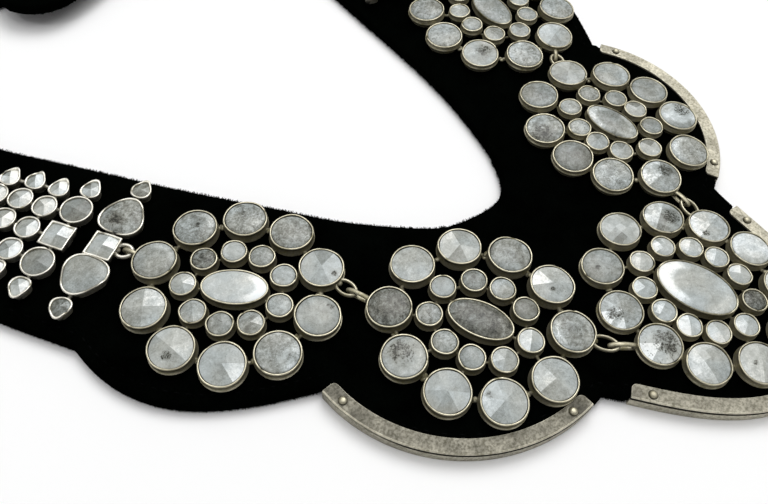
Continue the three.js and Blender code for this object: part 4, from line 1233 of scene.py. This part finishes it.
def rosette_pieces(name, patterns):
    rosette, looks, foot = ROSETTES[name], iter(STONES[name]), FOOT_AT[name]
    rng, scale, bar = random.Random(name), rosette["scale"], patterns["bar"]
    cups, stones, middles = [], {}, {}
    for which, lean, share in (("outer", LEAN_OUTER, 1.035), ("inner", LEAN_INNER, 0.577)):
        places = ring(rosette, which)
        middles[which], stones[which] = [place for place, _ in places], []
        for place, out in places:
            cup = copy_of(patterns[which], Matrix.Diagonal((scale, scale, 1, 1)))
            hand_made(cup, rng, CUP_RADIUS[which], foot=foot)
            cup.data.transform(turned_at(place, out))
            cups.append(cup)
            look = next(looks)
            leaned = (turned_at(place + Vector((0, 0, LEAN_AT * MM)), out)
                      @ Matrix.Rotation(radians(lean), 4, "Y") @ Matrix.Rotation(-out, 4, "Z")
                      @ Matrix.Translation(Vector((0, 0, GIRDLE_OVER_LEAN * MM))))
            stones[which].append(set_stone(patterns[look[0]], look, leaned, scale * share, rng))
    outer, inner = middles["outer"], middles["inner"]
    long_half, short_half = rosette["oval"]
    lie = turned_at(spot(*rosette["at"]), radians(rosette["axis"] - 90))
    oval_cup = bezel(64, short_half + 0.25, long_half + 0.25)
    hand_made(oval_cup, rng, long_half, foot=foot)
    oval_cup.data.transform(lie)
    cups.append(oval_cup)
    reach, small_reach = CUP_RADIUS["outer"] * scale, CUP_RADIUS["inner"] * scale
    for place, after in neighbours(outer):
        cups.append(joint_between(bar, place, after, reach, reach, LOW_SOLDER, rng.uniform(1.0, 1.3)))
        middle = (place + after) / 2
        for _ in range(2):
            lump = Matrix.Diagonal((rng.uniform(1.1, 2.0), rng.uniform(0.9, 1.5), rng.uniform(0.7, 1.1), 1))
            at = Vector((middle.x + rng.uniform(-0.5, 0.5) * MM, middle.y + rng.uniform(-0.5, 0.5) * MM,
                         rng.uniform(3.9, 4.6) * MM))
            cups.append(copy_of(patterns["bead"], turned_at(at, rng.uniform(0, 6.3)) @ lump))
    for place in inner:
        cups.append(joint_between(bar, place, nearest(outer, place), small_reach, reach,
                                  thick=rng.uniform(0.8, 1.1)))
    for place, after in neighbours(inner):
        if (after - place).length / MM < 2 * small_reach + 3:
            cups.append(joint_between(bar, place, after, small_reach, small_reach, LOW_SOLDER,
                                      rng.uniform(0.7, 1.0)))
    for end in (-1, 1):
        tip = lie @ Vector((0, end * long_half / 2 * MM, 0))
        cups.append(joint_between(bar, tip, nearest(inner, tip), long_half / 2, small_reach))
    oval = copy_of(patterns["smooth"], Matrix.Diagonal((
        (short_half - 0.1) / STONE_RADIUS, (long_half - 0.1) / STONE_RADIUS, 1.0, 1)))
    oval.data.transform(Matrix.Rotation(radians(rosette["axis"] - 90), 4, "Z"))

    def oval_outline(angle):
        angle -= radians(rosette["axis"])
        return 1 / math.hypot(math.cos(angle) / (long_half - 0.12), math.sin(angle) / (short_half - 0.12))

    set_look(oval.data, next(looks), rng, 1, oval_outline)
    oval.data.transform(Matrix.Translation(spot(*rosette["at"], 6.2)))
    gather(f"oval_moonstone_{name}", [oval], MOONSTONE, f"oval_stone_{name}")
    if name in LOOSE:
        for i, stone in enumerate(stones["outer"], 1):
            gather(f"moonstone_{name}_{i}", [stone], MOONSTONE, f"stone_{name}_{i}")
    else:
        gather(f"moonstones_{name}", stones["outer"], MOONSTONE, f"setting_{name}")
    gather(f"small_moonstones_{name}", stones["inner"], MOONSTONE, f"setting_{name}")
    return cups, outer, reach


# ------------------------------------------------------------------ lattices
def lattice_pieces(name, patterns):
    lattice, rng = LATTICES[name], random.Random("lattice" + name)
    turn, neck_side = radians(lattice["turn"]), lattice["neck_side"]
    cups, stones, places, trillions = [], [], [], 0
    for row, (at, slant, cells) in enumerate(LATTICE_ROWS):
        for x, shape in cells:
            reach = LATTICE_REACH[shape]
            place = turned_at(spot(*lattice["at"]), turn) @ (Vector((neck_side * x, at - slant * x, 0)) * MM)
            corner = CORNER_AT.get(shape, (0, 0))[x <= 0]
            facing = turn + radians(corner if neck_side > 0 else 180 - corner)
            cup = copy_of(patterns[f"{shape}_cup"], Matrix.Identity(4))
            hand_made(cup, rng, reach, LATTICE_RIM)
            cup.data.transform(turned_at(place, facing))
            cups.append(cup)
            # Other lattice stones get a painted highlight on one side and painted shade on the other.
            look = LATTICE_LOOKS.get((row, x)) or (
                "facets", rng.uniform(0.6, 0.74), 0.1, 0.05,
                [(-45 + rng.uniform(-20, 20), 70, 0.3), (88 + rng.uniform(-15, 15), 42, -0.24)])
            stone = copy_of(patterns[f"{shape}_stone"], Matrix.Rotation(facing, 4, "Z"))
            set_look(stone.data, look, rng, reach)
            stone.data.transform(Matrix.Translation(place + Vector((0, 0, (LATTICE_RIM - 0.42) * MM))))
            if shape == "trillion":
                trillions += 1
                gather(f"trillion_moonstone_{name}_{trillions}", [stone], MOONSTONE,
                       f"trillion_stone_{name}_{trillions}")
            else:
                stones.append(stone)
            places.append((place, 0.92 * reach, row))
            if (row, shape) == (0, "square"):
                hooked = ([place], 0.92 * reach)
    bar = patterns["bar"]
    for before, (place, reach, row) in zip(places, places[1:]):
        if before[2] == row:
            cups.append(joint_between(bar, place, before[0], reach, before[1], LATTICE_SOLDER, 1.1))
        if row:
            near, near_reach, _ = min((p for p in places if p[2] == row - 1),
                                      key=lambda p: (p[0] - place).length - p[1] * MM)
            if (near - place).length / MM - near_reach - reach < 2.2:
                cups.append(joint_between(bar, place, near, reach, near_reach, LATTICE_SOLDER))
    gather(f"lattice_moonstones_{name}", stones, MOONSTONE, f"lattice_{name}")
    return (cups, *hooked)


# ------------------------------------------------------------------ making the collar
stations = half_band("left")[::-1] + half_band("right")[1:]
velvet_collar(stations)
pile_tufts(stations)
edge_stitching(stations)
# Rivet heads: the dome painted bright as a highlight, its foot painted dark as shade.
rivet_head = spun(24, 0.4, RIVET_RINGS, 50, lambda co: min(0.8, max(-0.85, (co.z - 4.16) * 4 - 0.3)))
for clip in CLIPS:
    edge_clip(clip)
    rivets(rivet_head, clip)
bpy.data.objects.remove(rivet_head)
snap = spun(32, 5.0, SNAP_RINGS, 40, lambda co: 0.5)
snap.data.transform(Matrix.Translation(spot(*SNAP_AT)))
dress(snap, "press_stud", CLIP_STEEL, "snap_fastener")

bead, bar = solder_patterns()
patterns = {"bead": bead, "bar": bar}
for which, sides, lean in (("outer", 48, LEAN_OUTER), ("inner", 32, LEAN_INNER)):
    patterns[which] = bezel(sides, CUP_RADIUS[which], CUP_RADIUS[which], lean=lean)
for cut, planes in (("smooth", None), ("cross", tier(4, 9.5)), ("star", tier(6, 9)),
                    ("brilliant", tier(8, 9)), ("checker", checker())):
    patterns[cut] = cut_stone(planes)
# Lattice shapes: sides, outline, the stone's radius and its facets.
for shape, sides, outline, radius, planes in (
        ("square", 64, square_reach, 2.96, tier(4, 12, 0.62, 45)),
        ("trillion", 54, trillion_reach, 5.0, None),
        ("drop", 40, drop_reach, 2.1, tier(6, 14, 0.5)),
        ("wide", 36, None, 3.52, tier(4, 11, 0.6, 30)),
        ("round", 32, None, 2.62, tier(5, 14, 0.55, 20))):
    reach = LATTICE_REACH[shape]
    patterns[f"{shape}_cup"] = bezel(sides, reach, reach, LATTICE_RIM, outline, wall=COLLET_WALL)
    patterns[f"{shape}_stone"] = cut_stone(planes, sides, radius, outline)

settings = [("lattice_left", *lattice_pieces("left", patterns))]
settings += [(f"setting_{name}", *rosette_pieces(name, patterns)) for name in ROSETTES]
settings.append(("lattice_right", *lattice_pieces("right", patterns)))
for i, hook in enumerate(HOOKS):
    for which, (_, cups, places, reach) in enumerate(settings[i:i + 2]):
        target = spot(*hook)
        cup = places[LOOP_CUP[i, which]] if (i, which) in LOOP_CUP else nearest(places, target)
        cups.append(wire_loop(cup, reach, target, which == 1))
        knob = cup + (target - cup).normalized() * (reach + 0.1) * MM
        knob.z = LINK_HEIGHT * MM
        cups.append(copy_of(bead, Matrix.Translation(knob) @ Matrix.Diagonal((1.5, 1.5, 1.3, 1))))
for node, cups, _, _ in settings:
    metal = LATTICE_SILVER if node.startswith("lattice") else BEZEL_SILVER
    gather(node.replace("setting", "cups").replace("lattice", "lattice_cups"), cups, metal,
           node)
for pattern in patterns.values():
    bpy.data.objects.remove(pattern)

# ------------------------------------------------------------------ table, light and camera
put_down()
bpy.ops.mesh.primitive_plane_add(size=6, location=(0, 0, 0))
table_top = bpy.context.object
table_top.name = "white_table"
material, shader, where = new_material("white_paper")
tint = mix(where.noise(40, 3), (0.975, 0.975, 0.975, 1), (0.985, 0.985, 0.985, 1))
fill(shader, {"Base Color": tint, "Roughness": 0.8, "Specular IOR Level": 0.1})
table_top.data.materials.append(material)
table_top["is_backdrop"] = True

world = bpy.data.worlds.new("studio")
world.use_nodes = True
fill(world.node_tree.nodes["Background"], {"Color": (1.0, 1.0, 1.0, 1), "Strength": 0.32})
bpy.context.scene.world = world


def softbox(name, towards, distance, size, watts, across=0.0):
    """A disc of light, or a rectangle where its size across is given."""
    light = bpy.data.lights.new(name, "AREA")
    light.shape, light.size, light.energy = "RECTANGLE" if across else "DISK", size, watts
    if across:
        light.size_y = across
    lamp = set_out(name, light)
    way = Vector(towards).normalized()
    lamp.location = way * distance
    lamp.rotation_mode = "QUATERNION"
    lamp.rotation_quaternion = way.to_track_quat("Z", "Y")
    lamp.visible_camera = False


softbox("white_tent", (0.32, 0, 0.95), 2.4, 4.2, 39.5, 3.0)
softbox("overhead_softbox", (0.49, 0.18, 0.85), 1.8, 1.1, 11.5)
softbox("small_softbox", (-0.47, 0.24, 0.84), 1.8, 0.3, 2.4)

look_down, roll = 0.991, -0.0703
flat = Vector((0.866, 0.5, 0)).normalized()
right = Vector((0.5, -0.866, 0)).normalized()
forward = Vector((flat.x * math.cos(look_down), flat.y * math.cos(look_down), -math.sin(look_down)))
down = forward.cross(right)
image_right = math.cos(roll) * right + math.sin(roll) * down
image_down = -math.sin(roll) * right + math.cos(roll) * down
lens = bpy.data.cameras.new("camera")
lens.lens, lens.sensor_width, lens.sensor_fit = 36 * 737.2 / 768, 36, "HORIZONTAL"
lens.clip_start, lens.clip_end = 0.01, 50
camera = set_out("camera", lens)
camera.matrix_world = Matrix((image_right, -image_down, -forward)).transposed().to_4x4()
camera.location = spot(-116.05, 18.06, 151.59)
bpy.context.scene.camera = camera
bpy.context.scene.view_settings.view_transform = "Standard"

put_down()
low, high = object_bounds()
